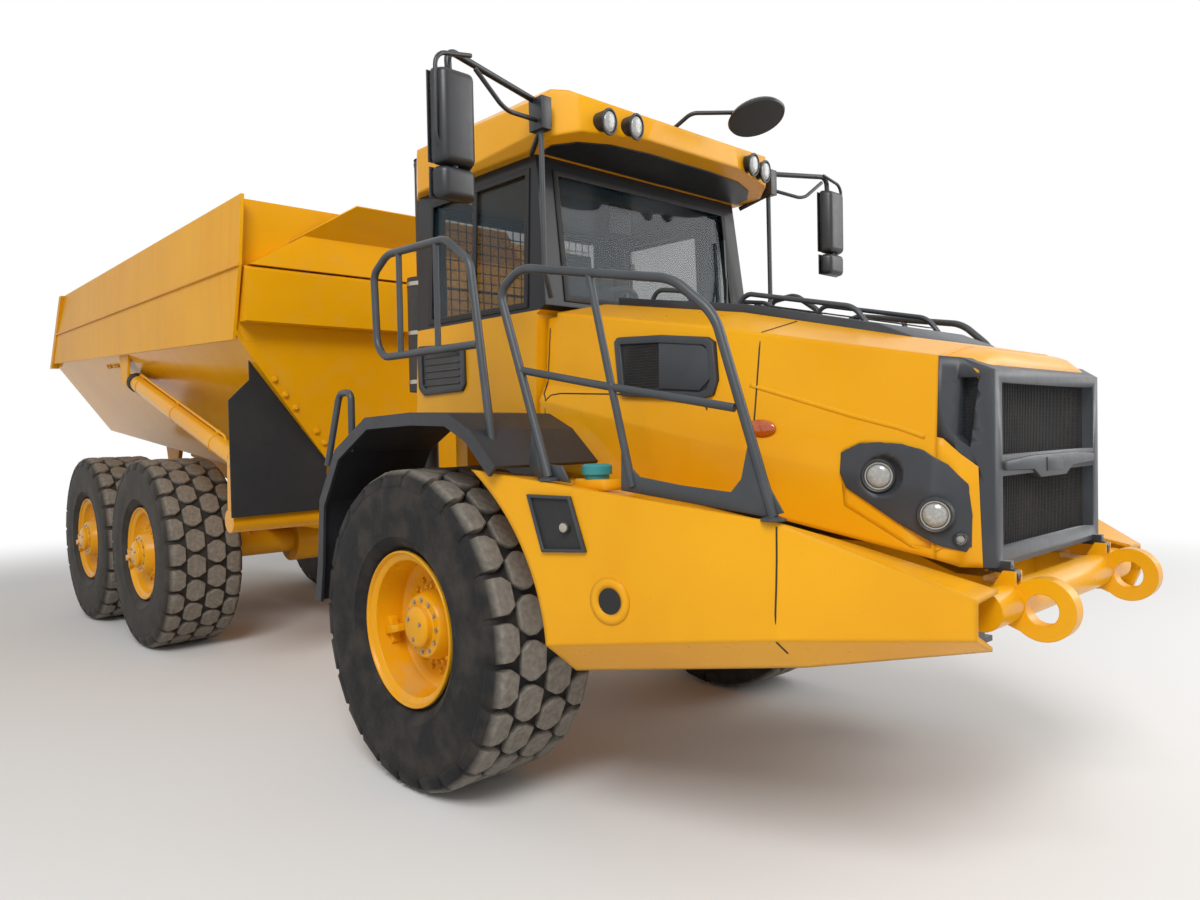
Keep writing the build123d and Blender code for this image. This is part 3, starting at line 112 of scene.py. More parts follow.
# %% The finish class
class Finish:
    """A tree of shader nodes in the making, for a material or for the world."""

    def __init__(self, name, store="materials"):
        self.owner = getattr(bpy.data, store).new(name)
        self.owner.use_nodes = True
        self.tree = self.owner.node_tree
        self.tree.nodes.clear()
        self.place = self.node("TexCoord", "Object")

    def node(self, kind, output=0, settings=None, sockets=None):
        """Adds a node, sets it up, feeds its sockets and gives back one of its outputs."""
        made = self.tree.nodes.new("ShaderNode" + kind)
        for name, value in (settings or {}).items():
            if name == "stops":
                self.set_ramp(made.color_ramp, value)
            else:
                setattr(made, name, value)
        for name, value in (sockets or {}).items():
            if isinstance(value, Wire):
                self.tree.links.new(value.socket, made.inputs[name])
            else:
                made.inputs[name].default_value = value
        return Wire(self, made.outputs[output]) if made.outputs else made

    def set_ramp(self, ramp, stops):
        """Gives a colour ramp its stops, as place and grey level."""
        while len(ramp.elements) < len(stops):
            ramp.elements.new(0.5)
        for element, (position, level) in zip(ramp.elements, stops):
            element.position = position
            element.color = (level, level, level, 1)

    def maths(self, operation, a, b=0.0):
        """One Math node on two values."""
        return self.node("Math", 0, {"operation": operation}, {0: a, 1: b})

    def mix(self, share, a, b):
        """One colour fading into another."""
        return self.node("Mix", 2, {"data_type": "RGBA"}, {0: share, 6: a, 7: b})

    def axis(self, name):
        """One coordinate of the place on the object."""
        return self.node("SeparateXYZ", name, None, {0: self.place})

    def facing(self, name):
        """One coordinate of the surface's own direction."""
        normal = self.node("NewGeometry", "Normal")
        return self.node("SeparateXYZ", name, None, {0: normal})

    def noise(self, scale, detail=3.0, stretch=(1, 1, 1)):
        """Cloudy noise about the object's own coordinates."""
        where = self.node("Mapping", 0, None, {"Vector": self.place, "Scale": stretch})
        return self.node("TexNoise", "Fac", None, {"Vector": where, "Scale": scale, "Detail": detail})

    def cells(self, scale):
        """Cellular noise, for grains and pitted rubber."""
        return self.node("TexVoronoi", "Distance", None, {"Vector": self.place, "Scale": scale})

    def ramp(self, value, *stops):
        """A value sent through a ramp of grey levels."""
        return self.node("ValToRGB", 0, {"stops": stops}, {"Fac": value})

    def bump(self, height, depth, strength=1.0, rounding=0.0):
        """A bump from a height, over edges that are rounded by a small radius."""
        sockets = {"Height": height, "Distance": depth, "Strength": strength}
        if rounding:
            sockets["Normal"] = self.node("Bevel", 0, {"samples": 4}, {"Radius": rounding})
        return self.node("Bump", 0, None, sockets)

    def seen(self):
        """1 for what the camera, gloss and glass look at, and 0 for the light that surfaces pass on."""
        kinds = ("Is Camera Ray", "Is Glossy Ray", "Is Transmission Ray")
        camera, gloss, glass = (self.node("LightPath", kind) for kind in kinds)
        return self.maths("MAXIMUM", self.maths("MAXIMUM", camera, gloss), glass)

    def done(self, **sockets):
        """Ends the tree in one principled shader and gives back the material."""
        words = {name.replace("_", " "): value for name, value in sockets.items()}
        shader = self.node("BsdfPrincipled", 0, None, words)
        self.node("OutputMaterial", 0, None, {"Surface": shader})
        return self.owner


def screen(red, green, blue):
    """A colour as it looks on screen, turned into the renderer's linear light."""
    def straight(level):
        level /= 255
        return level / 12.92 if level < 0.04045 else ((level + 0.055) / 1.055) ** 2.4
    return (straight(red), straight(green), straight(blue), 1.0)


# %% [markdown]
# ## The yellow of the machine
# The bodywork is sprayed in one warm yellow. Up close it has a faint orange-peel ripple, a slow drift
# in tone where it was sprayed thicker, and a veil of pale dust where plates face the sky. Cut plates
# also have edges that catch the light, which a Bevel node rounds without more faces.

# %% Yellow paint
paint_yellow = screen(234, 168, 16)
paint_deep = screen(221, 152, 8)
dust = screen(190, 164, 120)
paint_gloss = 0.22
paint_coat = 0.07


def sprayed_tone(finish):
    """The yellow's slow drift between its lighter and its deeper tone."""
    return finish.mix(finish.ramp(finish.noise(1.3, 3), (0.3, 0), (0.72, 1)), paint_yellow, paint_deep)


def yellow_paint(name, ripple, rounding, dusty):
    """Sprayed yellow, with its ripple, its drift in tone and its dust."""
    finish = Finish(name)
    tone = sprayed_tone(finish)
    up = finish.facing("Z")
    patches = finish.ramp(finish.noise(5.0, 6), (0.46, 0), (0.78, 1))
    low = finish.ramp(finish.axis("Z") / 3.0, (0.2, 1.0), (0.75, 0.25))
    veil = finish.ramp(up, (0.2, 0), (0.95, 1)) * patches * low * dusty
    colour = finish.mix(veil, tone, dust)
    peel = finish.noise(160.0, 2)
    rough = veil * 0.35 + finish.noise(14.0, 4) * 0.1 + 0.24
    return finish.done(
        Base_Color=colour, Roughness=rough, Specular_IOR_Level=paint_gloss, Coat_Weight=paint_coat,
        Coat_Roughness=0.1, Normal=finish.bump(peel, ripple, 0.5, rounding),
    )


yellow_plate = yellow_paint("yellow_plate", 0.0006, 0.006, 0.5)
yellow_moulding = yellow_paint("yellow_moulding", 0.0003, 0.028, 0.3)
yellow_cast = yellow_paint("yellow_cast", 0.0016, 0.008, 0.8)
print("yellow finishes ready")

# %% [markdown]
# ## The bin's paint
# The bin wears the same yellow. It is rolled on thicker plate and never polished, so faint upright
# streaks run down its sides. Its flanks look down at the ground and carry a clear gloss that mirrors
# the floor. Inside, loads have scuffed it here and there down to a dull grey.

# %% Bin finish
steel_dull = screen(142, 130, 110)


def bin_finish():
    """Streaked yellow outside, glossier under the flanks and lightly scuffed inside."""
    finish = Finish("bin_yellow")
    drift = finish.noise(1.1, 3)
    streaks = finish.ramp(finish.noise(1.0, 5, (9.0, 1.0, 0.5)), (0.35, 0), (0.75, 1))
    shade = finish.ramp(drift, (0.3, 0), (0.7, 0.6)) + streaks * 0.4
    tone = finish.mix(shade, paint_yellow, paint_deep)
    under = finish.ramp(finish.facing("Z") * -1.0, (0.25, 0), (0.5, 1))
    floor = finish.ramp(finish.facing("Z"), (0.35, 0), (0.8, 1))
    worn = finish.ramp(finish.noise(3.2, 8, (0.5, 1, 1)), (0.52, 0), (0.72, 1)) * floor
    veil = finish.ramp(finish.noise(6.0, 6), (0.5, 0), (0.85, 1)) * 0.12
    colour = finish.mix(veil, finish.mix(worn * 0.8, tone, steel_dull), dust)
    rough = finish.noise(9.0, 4) * 0.1 + worn * 0.25 + 0.27 - under * 0.16
    ripple = finish.noise(45.0, 4, (1, 1, 0.4))
    return finish.done(
        Base_Color=colour, Roughness=rough, Specular_IOR_Level=0.06, Coat_Weight=under * 0.14 + 0.01,
        Coat_Roughness=0.06,
        Normal=finish.bump(ripple, 0.0008, 0.4, 0.006),
    )


bin_paint = bin_finish()
print("bin paint nodes", len(bin_paint.node_tree.nodes))

# %% [markdown]
# ## Black and grey parts
# Rails and steps are powder-coated, the fenders and grille are moulded with a fine grain, and seals
# and flaps are plain rubber. They differ in tone, gloss and grain, so one function makes them all.

# %% Dark finishes
def dark_finish(name, colour, worn_colour, roughness, grain, depth, rounding=0.004):
    """A dark coating with grain, uneven gloss and a lighter worn tone."""
    finish = Finish(name)
    wear = finish.ramp(finish.noise(6.0, 6), (0.45, 0), (0.8, 1))
    rub = finish.ramp(finish.facing("Z"), (0.3, 0), (1.0, 0.55)) * finish.noise(11.0, 5)
    tone = finish.mix(finish.maths("MAXIMUM", wear * 0.5, rub), colour, worn_colour)
    rough = finish.noise(23.0, 3) * 0.16 + roughness
    return finish.done(
        Base_Color=tone, Roughness=rough,
        Normal=finish.bump(finish.cells(grain), depth, 0.4, rounding),
    )


rail_coat = dark_finish("rail_coat", screen(52, 56, 60), screen(74, 77, 80), 0.34, 500.0, 0.0003)
moulded_grey = dark_finish("moulded_grey", screen(45, 48, 53), screen(66, 69, 74), 0.36, 420.0, 0.0005)
fender_black = dark_finish("fender_black", screen(33, 34, 38), screen(52, 53, 57), 0.42, 420.0, 0.0005)
cab_black = dark_finish("cab_black", screen(30, 31, 34), screen(48, 50, 53), 0.3, 300.0, 0.0002)
flap_rubber = dark_finish("flap_rubber", screen(26, 27, 29), screen(44, 43, 42), 0.62, 160.0, 0.0006)
seal_rubber = dark_finish("seal_rubber", screen(18, 18, 19), screen(34, 34, 34), 0.55, 240.0, 0.0004)
soot_steel = dark_finish("soot_steel", screen(40, 38, 37), screen(74, 66, 60), 0.5, 120.0, 0.001)
engine_cast = dark_finish("engine_cast", screen(84, 85, 86), screen(112, 110, 106), 0.5, 90.0, 0.0016)
print("materials so far", len(bpy.data.materials))

# %% [markdown]
# ## The cab's two colours
# The lower cab is yellow like the bonnet, while its pillars and window frames are black. The change
# is a clean masked line at the window sill, so one material switches at that height.

# %% Cab shell finish
belt_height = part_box("cab_glass")[0].z - 0.03


def cab_finish():
    """Yellow below the window sill and black above it."""
    finish = Finish("cab_two_tone")
    above = finish.axis("Z") > belt_height
    colour = finish.mix(above, sprayed_tone(finish), screen(30, 31, 34))
    rough = finish.noise(14.0, 4) * 0.1 + 0.25
    peel = finish.noise(160.0, 2)
    print("cab changes colour at height", round(belt_height, 3))
    return finish.done(
        Base_Color=colour, Roughness=rough, Specular_IOR_Level=paint_gloss, Coat_Weight=paint_coat,
        Normal=finish.bump(peel, 0.0004, 0.5, 0.01))


cab_two_tone = cab_finish()

# %% [markdown]
# ## Tyre rubber
# The sidewalls are black with fine scuffs. The lug tops are polished to a grey brown by the ground,
# and dust sits in the grooves. The tyres are built below with a mark on every point that says how
# far it stands out, and the material reads that mark.

# %% Tyre finish
def tyre_finish(name, wall_colour, top_colour):
    """Rubber that is black on its walls and worn pale on its lug tops."""
    finish = Finish(name)
    top = finish.node("Attribute", "Fac", {"attribute_name": "lug_top"})
    grit = finish.ramp(finish.noise(38.0, 8), (0.3, 0), (0.75, 1))
    scuff = finish.ramp(finish.noise(7.0, 7), (0.42, 0), (0.8, 1))
    wall = finish.mix(scuff * 0.6, wall_colour, screen(78, 70, 62))
    worn = finish.mix(grit * 0.6, top_colour, screen(74, 70, 66))
    colour = finish.mix(top, wall, worn)
    rough = finish.noise(50.0, 4) * 0.2 + 0.58
    height = finish.noise(90.0, 6) + finish.cells(260.0) * 0.4
    return finish.done(
        Base_Color=colour, Roughness=rough, Specular_IOR_Level=0.25,
        Normal=finish.bump(height, 0.002, 0.6, 0.004))


front_rubber = tyre_finish("front_rubber", screen(27, 27, 28), screen(136, 130, 120))
rear_rubber = tyre_finish("rear_rubber", screen(50, 46, 42), screen(138, 129, 117))
print("tyre rubbers ready")

# %% [markdown]
# ## Glass, lamps and bright metal
# Cab glass is tinted and thin, so a plain transparent mix is enough and stays quick. Lamp lenses
# have a ribbed bump, mirrors and piston rods are bright metal.

# %% Glass and metal finishes
def tinted_glass(name, tint, opacity):
    """Thin tinted glass that shows the cab behind it."""
    finish = Finish(name)
    smear = finish.ramp(finish.noise(2.4, 5), (0.4, 0), (0.8, 1))
    return finish.done(
        Base_Color=tint, Roughness=smear * 0.04 + 0.01, Alpha=smear * 0.05 + opacity,
        Specular_IOR_Level=0.4,
        Normal=finish.bump(finish.noise(1.2, 1), 0.001, 0.1),
    )


def bright_metal(name, colour, roughness):
    """Polished or brushed metal."""
    finish = Finish(name)
    brush = finish.noise(40.0, 3, (0.2, 1, 1))
    return finish.done(
        Base_Color=colour, Metallic=1.0, Roughness=brush * 0.12 + roughness,
        Normal=finish.bump(brush, 0.0003, 0.2),
    )


def lens(name, colour, depth_shade, ribs):
    """A moulded lamp lens with fine ribs, speckled with painted shade that stands for the depth inside it."""
    finish = Finish(name)
    across = finish.maths("SINE", finish.axis("Y") * ribs)
    down = finish.maths("SINE", finish.axis("Z") * ribs)
    speckle = finish.ramp(finish.cells(90.0), (0.1, 0), (0.6, 1))
    shade = finish.mix(speckle * 0.35, colour, depth_shade)
    return finish.done(
        Base_Color=shade, Roughness=finish.noise(20.0) * 0.1 + 0.08, Coat_Weight=0.8,
        Normal=finish.bump(across * down, 0.001, 0.35),
    )


cab_window = tinted_glass("cab_window", screen(30, 50, 58), 0.34)
mirror_face = bright_metal("mirror_face", screen(214, 220, 226), 0.02)
chrome = bright_metal("chrome", screen(206, 208, 212), 0.08)
zinc = bright_metal("zinc", screen(176, 172, 160), 0.3)
clear_lens = lens("clear_lens", screen(172, 174, 172), screen(96, 98, 98), 260.0)
amber_lens = lens("amber_lens", screen(190, 88, 16), screen(128, 46, 8), 300.0)
red_lens = lens("red_lens", screen(150, 20, 16), screen(84, 8, 8), 300.0)
cap_teal = dark_finish("cap_teal", screen(38, 128, 132), screen(70, 150, 150), 0.4, 200.0, 0.0003)
seat_cloth = dark_finish("seat_cloth", screen(44, 46, 50), screen(70, 72, 76), 0.8, 900.0, 0.0004)
print("materials so far", len(bpy.data.materials))

# %% [markdown]
# ## Dress the construction
# Each node of the frame keeps its shape and only gets its finish. A table of finish and name parts
# does that: the first row whose word starts the node's name wins.

# %% Finishes for the frame's nodes
node_finishes = [
    ("bin", bin_paint),
    ("mud_flaps", flap_rubber),
    ("cab_shell", cab_two_tone),
    ("cab_glass", cab_window),
    ("door_glass", cab_window),
    ("cab_door", cab_black),
    ("cab_roof", yellow_moulding),
    ("cab_interior", moulded_grey),
    ("bonnet", yellow_moulding),
    ("side_panel", yellow_moulding),
    ("grille", moulded_grey),
    ("headlamps", moulded_grey),
    ("side_vents", moulded_grey),
    ("fenders", fender_black),
    ("handrails", rail_coat),
    ("entry_steps", rail_coat),
    ("mirrors", cab_black),
    ("exhaust_stack", soot_steel),
    ("engine_block", engine_cast),
    ("roof_lamps", cab_black),
    ("tail_lamps", red_lens),
    ("tyre_front", front_rubber),
    ("tyre", rear_rubber),
    ("rim", yellow_cast),
    ("hoist_rod", chrome),
    ("steer_rod", chrome),
    ("hoist_barrel", yellow_cast),
    ("steer_barrel", yellow_cast),
    ("", yellow_plate),
]
for name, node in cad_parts.items():
    finish = next(f for word, f in node_finishes if name.startswith(word))
    node.data.materials.clear()
    node.data.materials.append(finish)
print("dressed", len(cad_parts), "nodes")

# %% [markdown]
# ## Modelling by hand, in code
# Every new piece is drawn as one would draw it with the mouse. A vertex is extruded from point to
# point, the outline is filled, extruded, inset or spun, corners are bevelled, and the normals are
# turned outwards at the end. These helpers hold those few moves, so that each piece below is short.

# %% Starting and finishing a piece
def alone():
    """Leaves edit mode and deselects everything."""
    if bpy.context.object and bpy.context.object.mode != "OBJECT":
        bpy.ops.object.mode_set(mode="OBJECT")
    bpy.ops.object.select_all(action="DESELECT")


def only(piece):
    """Selects one piece alone and makes it the active one."""
    alone()
    piece.select_set(True)
    bpy.context.view_layer.objects.active = piece


def fresh(kind, name, **placing):
    """A new primitive, alone in the selection."""
    alone()
    getattr(bpy.ops.mesh, f"primitive_{kind}_add")(**placing)
    piece = bpy.context.object
    piece.name = name
    return piece


def edit(piece):
    """Opens a piece for editing with all of it selected."""
    only(piece)
    bpy.ops.object.mode_set(mode="EDIT")
    bpy.ops.mesh.select_all(action="SELECT")


def merge():
    """Merges points that lie on each other, in the piece that is open for editing."""
    bpy.ops.mesh.remove_doubles(threshold=0.00002)


def modified(piece, kind, **settings):
    """Adds a modifier, sets it up and applies it."""
    only(piece)
    modifier = piece.modifiers.new(kind.title(), kind)
    for name, value in settings.items():
        setattr(modifier, name, value)
    bpy.ops.object.modifier_apply(modifier=modifier.name)


def finished(piece, finish, body, rounding=0.0, angle=32, replaces=()):
    """Closes a piece, turns its faces outwards, rounds its edges and hangs it on its body."""
    edit(piece)
    merge()
    bpy.ops.mesh.normals_make_consistent(inside=False)
    if rounding:
        modified(piece, "BEVEL", width=rounding, segments=2, limit_method="ANGLE",
                 angle_limit=math.radians(40))
    only(piece)
    bpy.ops.object.shade_smooth_by_angle(angle=math.radians(angle))
    piece.data.name = piece.name
    piece.data.materials.clear()
    piece.data.materials.append(finish)
    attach(piece, body)
    if replaces:
        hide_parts(*replaces)
    return piece


# %% Outlines and plates
def pull(way):
    """Extrudes what is selected along a vector."""
    bpy.ops.mesh.extrude_region_move(TRANSFORM_OT_translate={"value": Vector(way)})


def trace(name, points, filled=True):
    """An outline drawn by extruding one vertex from point to point, filled with a face or left open."""
    piece = fresh("plane", name, size=0.01)
    bpy.ops.object.mode_set(mode="EDIT")
    bpy.ops.mesh.merge(type="CENTER")
    bpy.ops.transform.translate(value=Vector(points[0]))
    route = [Vector(p) for p in points] + ([Vector(points[0])] if filled else [])
    for last, here in zip(route, route[1:]):
        pull(here - last)
    bpy.ops.mesh.select_all(action="SELECT")
    if filled:
        merge()
        bpy.ops.mesh.edge_face_add()
    return piece


def sheet(name, points, across):
    """A plate: a filled outline, extruded by a vector."""
    piece = trace(name, points)
    pull(across)
    return piece


def ring(name, points, width, across):
    """A frame: a filled outline, inset, opened in its middle and extruded by a vector."""
    piece = trace(name, points)
    bpy.ops.mesh.inset(thickness=width)
    bpy.ops.mesh.delete(type="FACE")
    bpy.ops.mesh.select_all(action="SELECT")
    pull(across)
    return piece


# %% Round bars and turned work
def tube(name, points, radius, bend=0.0, sides=3):
    """A round bar along a route whose corners are rounded, made by way of a curve."""
    piece = trace(name, points, filled=False)
    if bend:
        bpy.ops.object.mode_set(mode="OBJECT")
        for vertex in piece.data.vertices:
            vertex.select = any((vertex.co - Vector(p)).length < 0.0005 for p in points[1:-1])
        bpy.ops.object.mode_set(mode="EDIT")
        bpy.ops.mesh.bevel(offset=bend, segments=5, affect="VERTICES")
    bpy.ops.object.mode_set(mode="OBJECT")
    bpy.ops.object.convert(target="CURVE")
    piece = bpy.context.object
    piece.data.bevel_depth = radius
    piece.data.bevel_resolution = sides
    piece.data.use_fill_caps = True
    bpy.ops.object.convert(target="MESH")
    piece = bpy.context.object
    piece.name = name
    return piece


def lathe(name, profile, centre, axis, steps=48):
    """Turned work: a profile of places along an axis and radii, spun right round it."""
    axis = Vector(axis).normalized()
    out = axis.orthogonal().normalized()
    centre = Vector(centre)
    piece = trace(name, [centre + axis * along + out * radius for along, radius in profile], filled=False)
    bpy.ops.mesh.spin(steps=steps, angle=math.tau, center=centre, axis=axis)
    bpy.ops.mesh.select_all(action="SELECT")
    merge()
    return piece


# %% Joining and copying
def joined(pieces, name):
    """Several pieces made one."""
    alone()
    for piece in pieces:
        piece.select_set(True)
    bpy.context.view_layer.objects.active = pieces[0]
    bpy.ops.object.join()
    pieces[0].name = name
    return pieces[0]


def repeated(piece, moves, name=None):
    """Copies of a piece, each with its own mesh and its own place, made one. The first piece goes."""
    alone()
    copies = []
    for move in moves:
        twin = piece.copy()
        twin.data = piece.data.copy()
        twin.data.transform(move)
        bpy.context.scene.collection.objects.link(twin)
        copies.append(twin)
    name = name or piece.name
    bpy.data.objects.remove(piece)
    return joined(copies, name)


def both_sides(piece):
    """The piece and its mirror image across the middle of the machine."""
    return repeated(piece, [Matrix(), Matrix.Scale(-1, 4, (0, 1, 0))])


# %% Cutting, and finding the surface
def cut(place, away):
    """Cuts off what lies beyond a plane, on the piece that is open for editing, and closes it."""
    bpy.ops.mesh.select_all(action="SELECT")
    bpy.ops.mesh.bisect(plane_co=place, plane_no=away, use_fill=True, clear_outer=True)


def touch(node, start, way):
    """Where a ray first meets a node of the frame, and the surface's direction. A miss gives the start."""
    hit, place, normal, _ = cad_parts[node].ray_cast(Vector(start), Vector(way))
    return (place, normal) if hit else (Vector(start), -Vector(way))


def laid(node, start, way, out=0.0):
    """The place where a ray meets a node, moved out along the surface's direction."""
    place, normal = touch(node, start, way)
    return place + normal * out


# %% [markdown]
# ## Bolts
# A machine like this is held by flange bolts. One is modelled at unit size: a six-sided head with a
# chamfer, on a round flange. Then it is copied to every place in a list, turned to the surface.

# %% A flange bolt
def unit_bolt():
    """A hexagon head of radius 1 on a round flange, standing on Z 0."""
    head = fresh("cylinder", "bolt_head", vertices=6, radius=1.0, depth=0.8, location=(0, 0, 0.65))
    bpy.ops.object.transform_apply(location=True, rotation=False, scale=False)
    modified(head, "BEVEL", width=0.09, segments=1, limit_method="ANGLE")
    flange = fresh("cylinder", "bolt_flange", vertices=16, radius=1.45, depth=0.26, location=(0, 0, 0.12))
    bpy.ops.object.transform_apply(location=True, rotation=False, scale=False)
    return joined([head, flange], "bolt")


def bolts(name, finish, body, radius, places):
    """Bolts of one size at places, each with the way it stands out."""
    moves = []
    for place, way in places:
        turn = Vector(way).to_track_quat("Z", "Y").to_matrix().to_4x4()
        moves.append(Matrix.Translation(place) @ turn @ Matrix.Scale(radius, 4))
    return finished(repeated(unit_bolt(), moves, name), finish, body)


# %% [markdown]
# ## Tyres
# An earthmover tyre has a smooth, bulging carcass and a tread of deep blocks. The carcass is turned
# from half a section. Two blocks are drawn, one for the shoulder and one for the middle, their corners
# cut by planes, and both are copied round the wheel, each row half a pitch from the next. Blocks keep
# the construction's count and its outer radius, so the wheel still stands on the ground.

# %% Tyre sizes
tyre_radius = hub_z
lug_count = 24
lug_tip = tyre_radius - 0.0035
pitch = math.tau / lug_count
print("tyre radius", round(tyre_radius, 3), "lugs", lug_count)

# Columns: distance from the middle plane, radius.
carcass_half = [
    (0.224, 0.353), (0.224, 0.392), (0.246, 0.404), (0.270, 0.424), (0.284, 0.452), (0.2895, 0.456),
    (0.2895, 0.466), (0.288, 0.474), (0.2965, 0.530), (0.2995, 0.590), (0.2975, 0.650), (0.292, 0.700),
    (0.282, 0.736), (0.262, 0.750), (0.0, 0.753),
]


# %% One tyre
def tread_block(name, section, half_width, corners):
    """One block of the tread at the top of the wheel. Corners: Y of the cut, slant across Y and along X."""
    block = sheet(name, [(-half_width, y, r) for y, r in section], (2 * half_width, 0, 0))
    for y, slant, along in corners:
        for side in (-1, 1):
            cut((side * half_width * 0.62, y, 0), (side * along, slant, 0))
    modified(block, "BEVEL", width=0.005, segments=1, limit_method="ANGLE", angle_limit=math.radians(30))
    return block


def one_tyre():
    """A whole tyre about its own middle."""
    section = carcass_half + [(-y, r) for y, r in reversed(carcass_half[:-1])] + [carcass_half[0]]
    carcass = lathe("carcass", section, (0, 0, 0), (0, 1, 0), steps=120)
    shoulder = tread_block(
        "shoulder_block",
        [(0.158, 0.735), (0.158, lug_tip), (0.246, lug_tip), (0.285, 0.752), (0.2965, 0.708),
         (0.290, 0.690)],
        0.083, [(0.158, -0.75, 1.0)])
    middle = tread_block(
        "middle_block", [(0.009, 0.735), (0.009, lug_tip), (0.146, lug_tip), (0.146, 0.735)],
        0.089, [(0.009, -0.6, 1.0), (0.146, 0.75, 1.0)])
    moves = []
    for row, shift in ((shoulder, 0.25), (middle, -0.25)):
        turns = []
        for i in range(lug_count):
            turns.append(Matrix.Rotation((i + shift) * pitch, 4, "Y"))
            turns.append(Matrix.Rotation((i - shift) * pitch, 4, "Y") @ Matrix.Scale(-1, 4, (0, 1, 0)))
        moves.append(repeated(row, turns))
    return joined([carcass, *moves], "tyre")


def mark_lugs(piece, centre):
    """Writes on every point whether it lies on top of a block."""
    mark = piece.data.attributes.new("lug_top", "FLOAT", "POINT")
    for vertex, value in zip(piece.data.vertices, mark.data):
        reach = math.hypot(vertex.co.x - centre.x, vertex.co.z - centre.z)
        value.value = 1.0 if reach > lug_tip - 0.009 else 0.0


# %% Six tyres
wheel_names = [f"{row}_{word}" for row in ("front", "middle", "rear") for word in ("left", "right")]
first_tyre = one_tyre()
for wheel in wheel_names:
    hub = middle_of(f"tyre_{wheel}")
    tyre = repeated(first_tyre.copy(), [Matrix.Translation(hub)], f"tyre_tread_{wheel}")
    rubber = front_rubber if wheel.startswith("front") else rear_rubber
    finished(tyre, rubber, f"wheel_{wheel}", angle=40, replaces=[f"tyre_{wheel}"])
    mark_lugs(tyre, hub)
print("tyre faces", len(first_tyre.data.polygons))
bpy.data.objects.remove(first_tyre)

# %% [markdown]
# ## Rims
# The front rims are deeply dished, with the hub far inside, and the rear ones are shallower. Both are
# turned from one section whose web stands at its own depth. Wheel nuts and hub bolts stand in rings.

# %% Rim sizes
rim_half = 0.26
seat_radius = 0.3515
web_places = {"front": 0.055, "middle": 0.165, "rear": 0.165}
guard_plate = [(-0.330, -0.020), (-0.330, 0.030), (-0.205, 0.022), (-0.205, -0.012)]
guard_ear = [(-0.338, -0.085), (-0.338, 0.085), (-0.300, 0.060), (-0.300, -0.060)]
print("rims are", 2 * rim_half, "wide")


def rim_section(web):
    """The closed section of a rim: places along the axle and radii."""
    back = web - 0.024
    cap = web + 0.110
    return [
        (back - 0.03, 0.0), (back - 0.03, 0.070), (-0.288, 0.070), (-0.288, 0.178), (back - 0.06, 0.178),
        (back, 0.198), (back, 0.270), (back - 0.05, 0.330), (-rim_half, 0.334), (-rim_half, 0.384),
        (-0.239, 0.384), (-0.230, seat_radius), (0.230, seat_radius), (0.239, 0.384), (0.255, 0.385),
        (0.260, 0.381), (0.260, 0.376), (0.252, 0.369), (0.243, 0.366), (0.238, 0.352), (0.228, 0.336),
        (max(web + 0.05, 0.20), 0.333), (web + 0.028, 0.322), (web + 0.008, 0.306), (web, 0.286),
        (web, 0.214), (web + 0.006, 0.208), (web + 0.022, 0.206), (web + 0.028, 0.198),
        (web + 0.034, 0.180), (cap - 0.01, 0.160), (cap, 0.152), (cap, 0.110), (cap + 0.006, 0.105),
        (cap + 0.032, 0.103), (cap + 0.042, 0.094), (cap + 0.048, 0.078), (cap + 0.048, 0.0),
    ]


# %% Six rims with their nuts
def circle_of(centre, side, along, radius, count, turn=0.0):
    """Places on a circle about a wheel's axle, with the way that they stand out."""
    places = []
    for i in range(count):
        angle = turn + i * math.tau / count
        place = centre + Vector((radius * math.cos(angle), side * along, radius * math.sin(angle)))
        places.append((place, (0, side, 0)))
    return places


for wheel in wheel_names:
    row, word = wheel.split("_")
    side = 1 if word == "left" else -1
    hub = middle_of(f"tyre_{wheel}")
    web = web_places[row]
    rim = lathe("rim_turned_" + wheel, rim_section(web), hub, (0, side, 0), steps=72)
    finished(rim, yellow_cast, f"wheel_{wheel}", angle=30, replaces=[f"rim_{wheel}"])
    nuts = circle_of(hub, side, web, 0.246, 20)
    nuts += circle_of(hub, side, web + 0.030, 0.188, 24, 0.1)
    bolts(f"wheel_nuts_{wheel}", yellow_cast, f"wheel_{wheel}", 0.0125, nuts)
    small = circle_of(hub, side, web + 0.110, 0.130, 12)
    small += circle_of(hub, side, web + 0.158, 0.060, 3, 0.4)
    bolts(f"hub_bolts_{wheel}", zinc, f"wheel_{wheel}", 0.0085, small)
    guard = sheet("guard", [(x, y, web + 0.03) for x, y in guard_plate], (0, 0, 0.10))
    ear = sheet("ear", [(x, y, web + 0.06) for x, y in guard_ear], (0, 0, 0.05))
    guard = joined([guard, ear], f"valve_guard_{wheel}")
    # The guard is drawn flat, so its height is turned to point out of the wheel.
    outward = Matrix(((1, 0, 0, 0), (0, 0, side, 0), (0, 1, 0, 0), (0, 0, 0, 1)))
    stand = Matrix.Translation(hub) @ Matrix.Rotation(math.radians(12) * side, 4, "Y") @ outward
    alone()
    guard.data.transform(stand)
    finished(guard, yellow_cast, f"wheel_{wheel}", 0.004)
print("rims done")

# %% [markdown]
# ## Rails
# The handrails are bent from round tube and coated dark. The construction holds them as tubes of eight
# flats, and these follow the same routes with a full round section. Each foot gets a small flange.

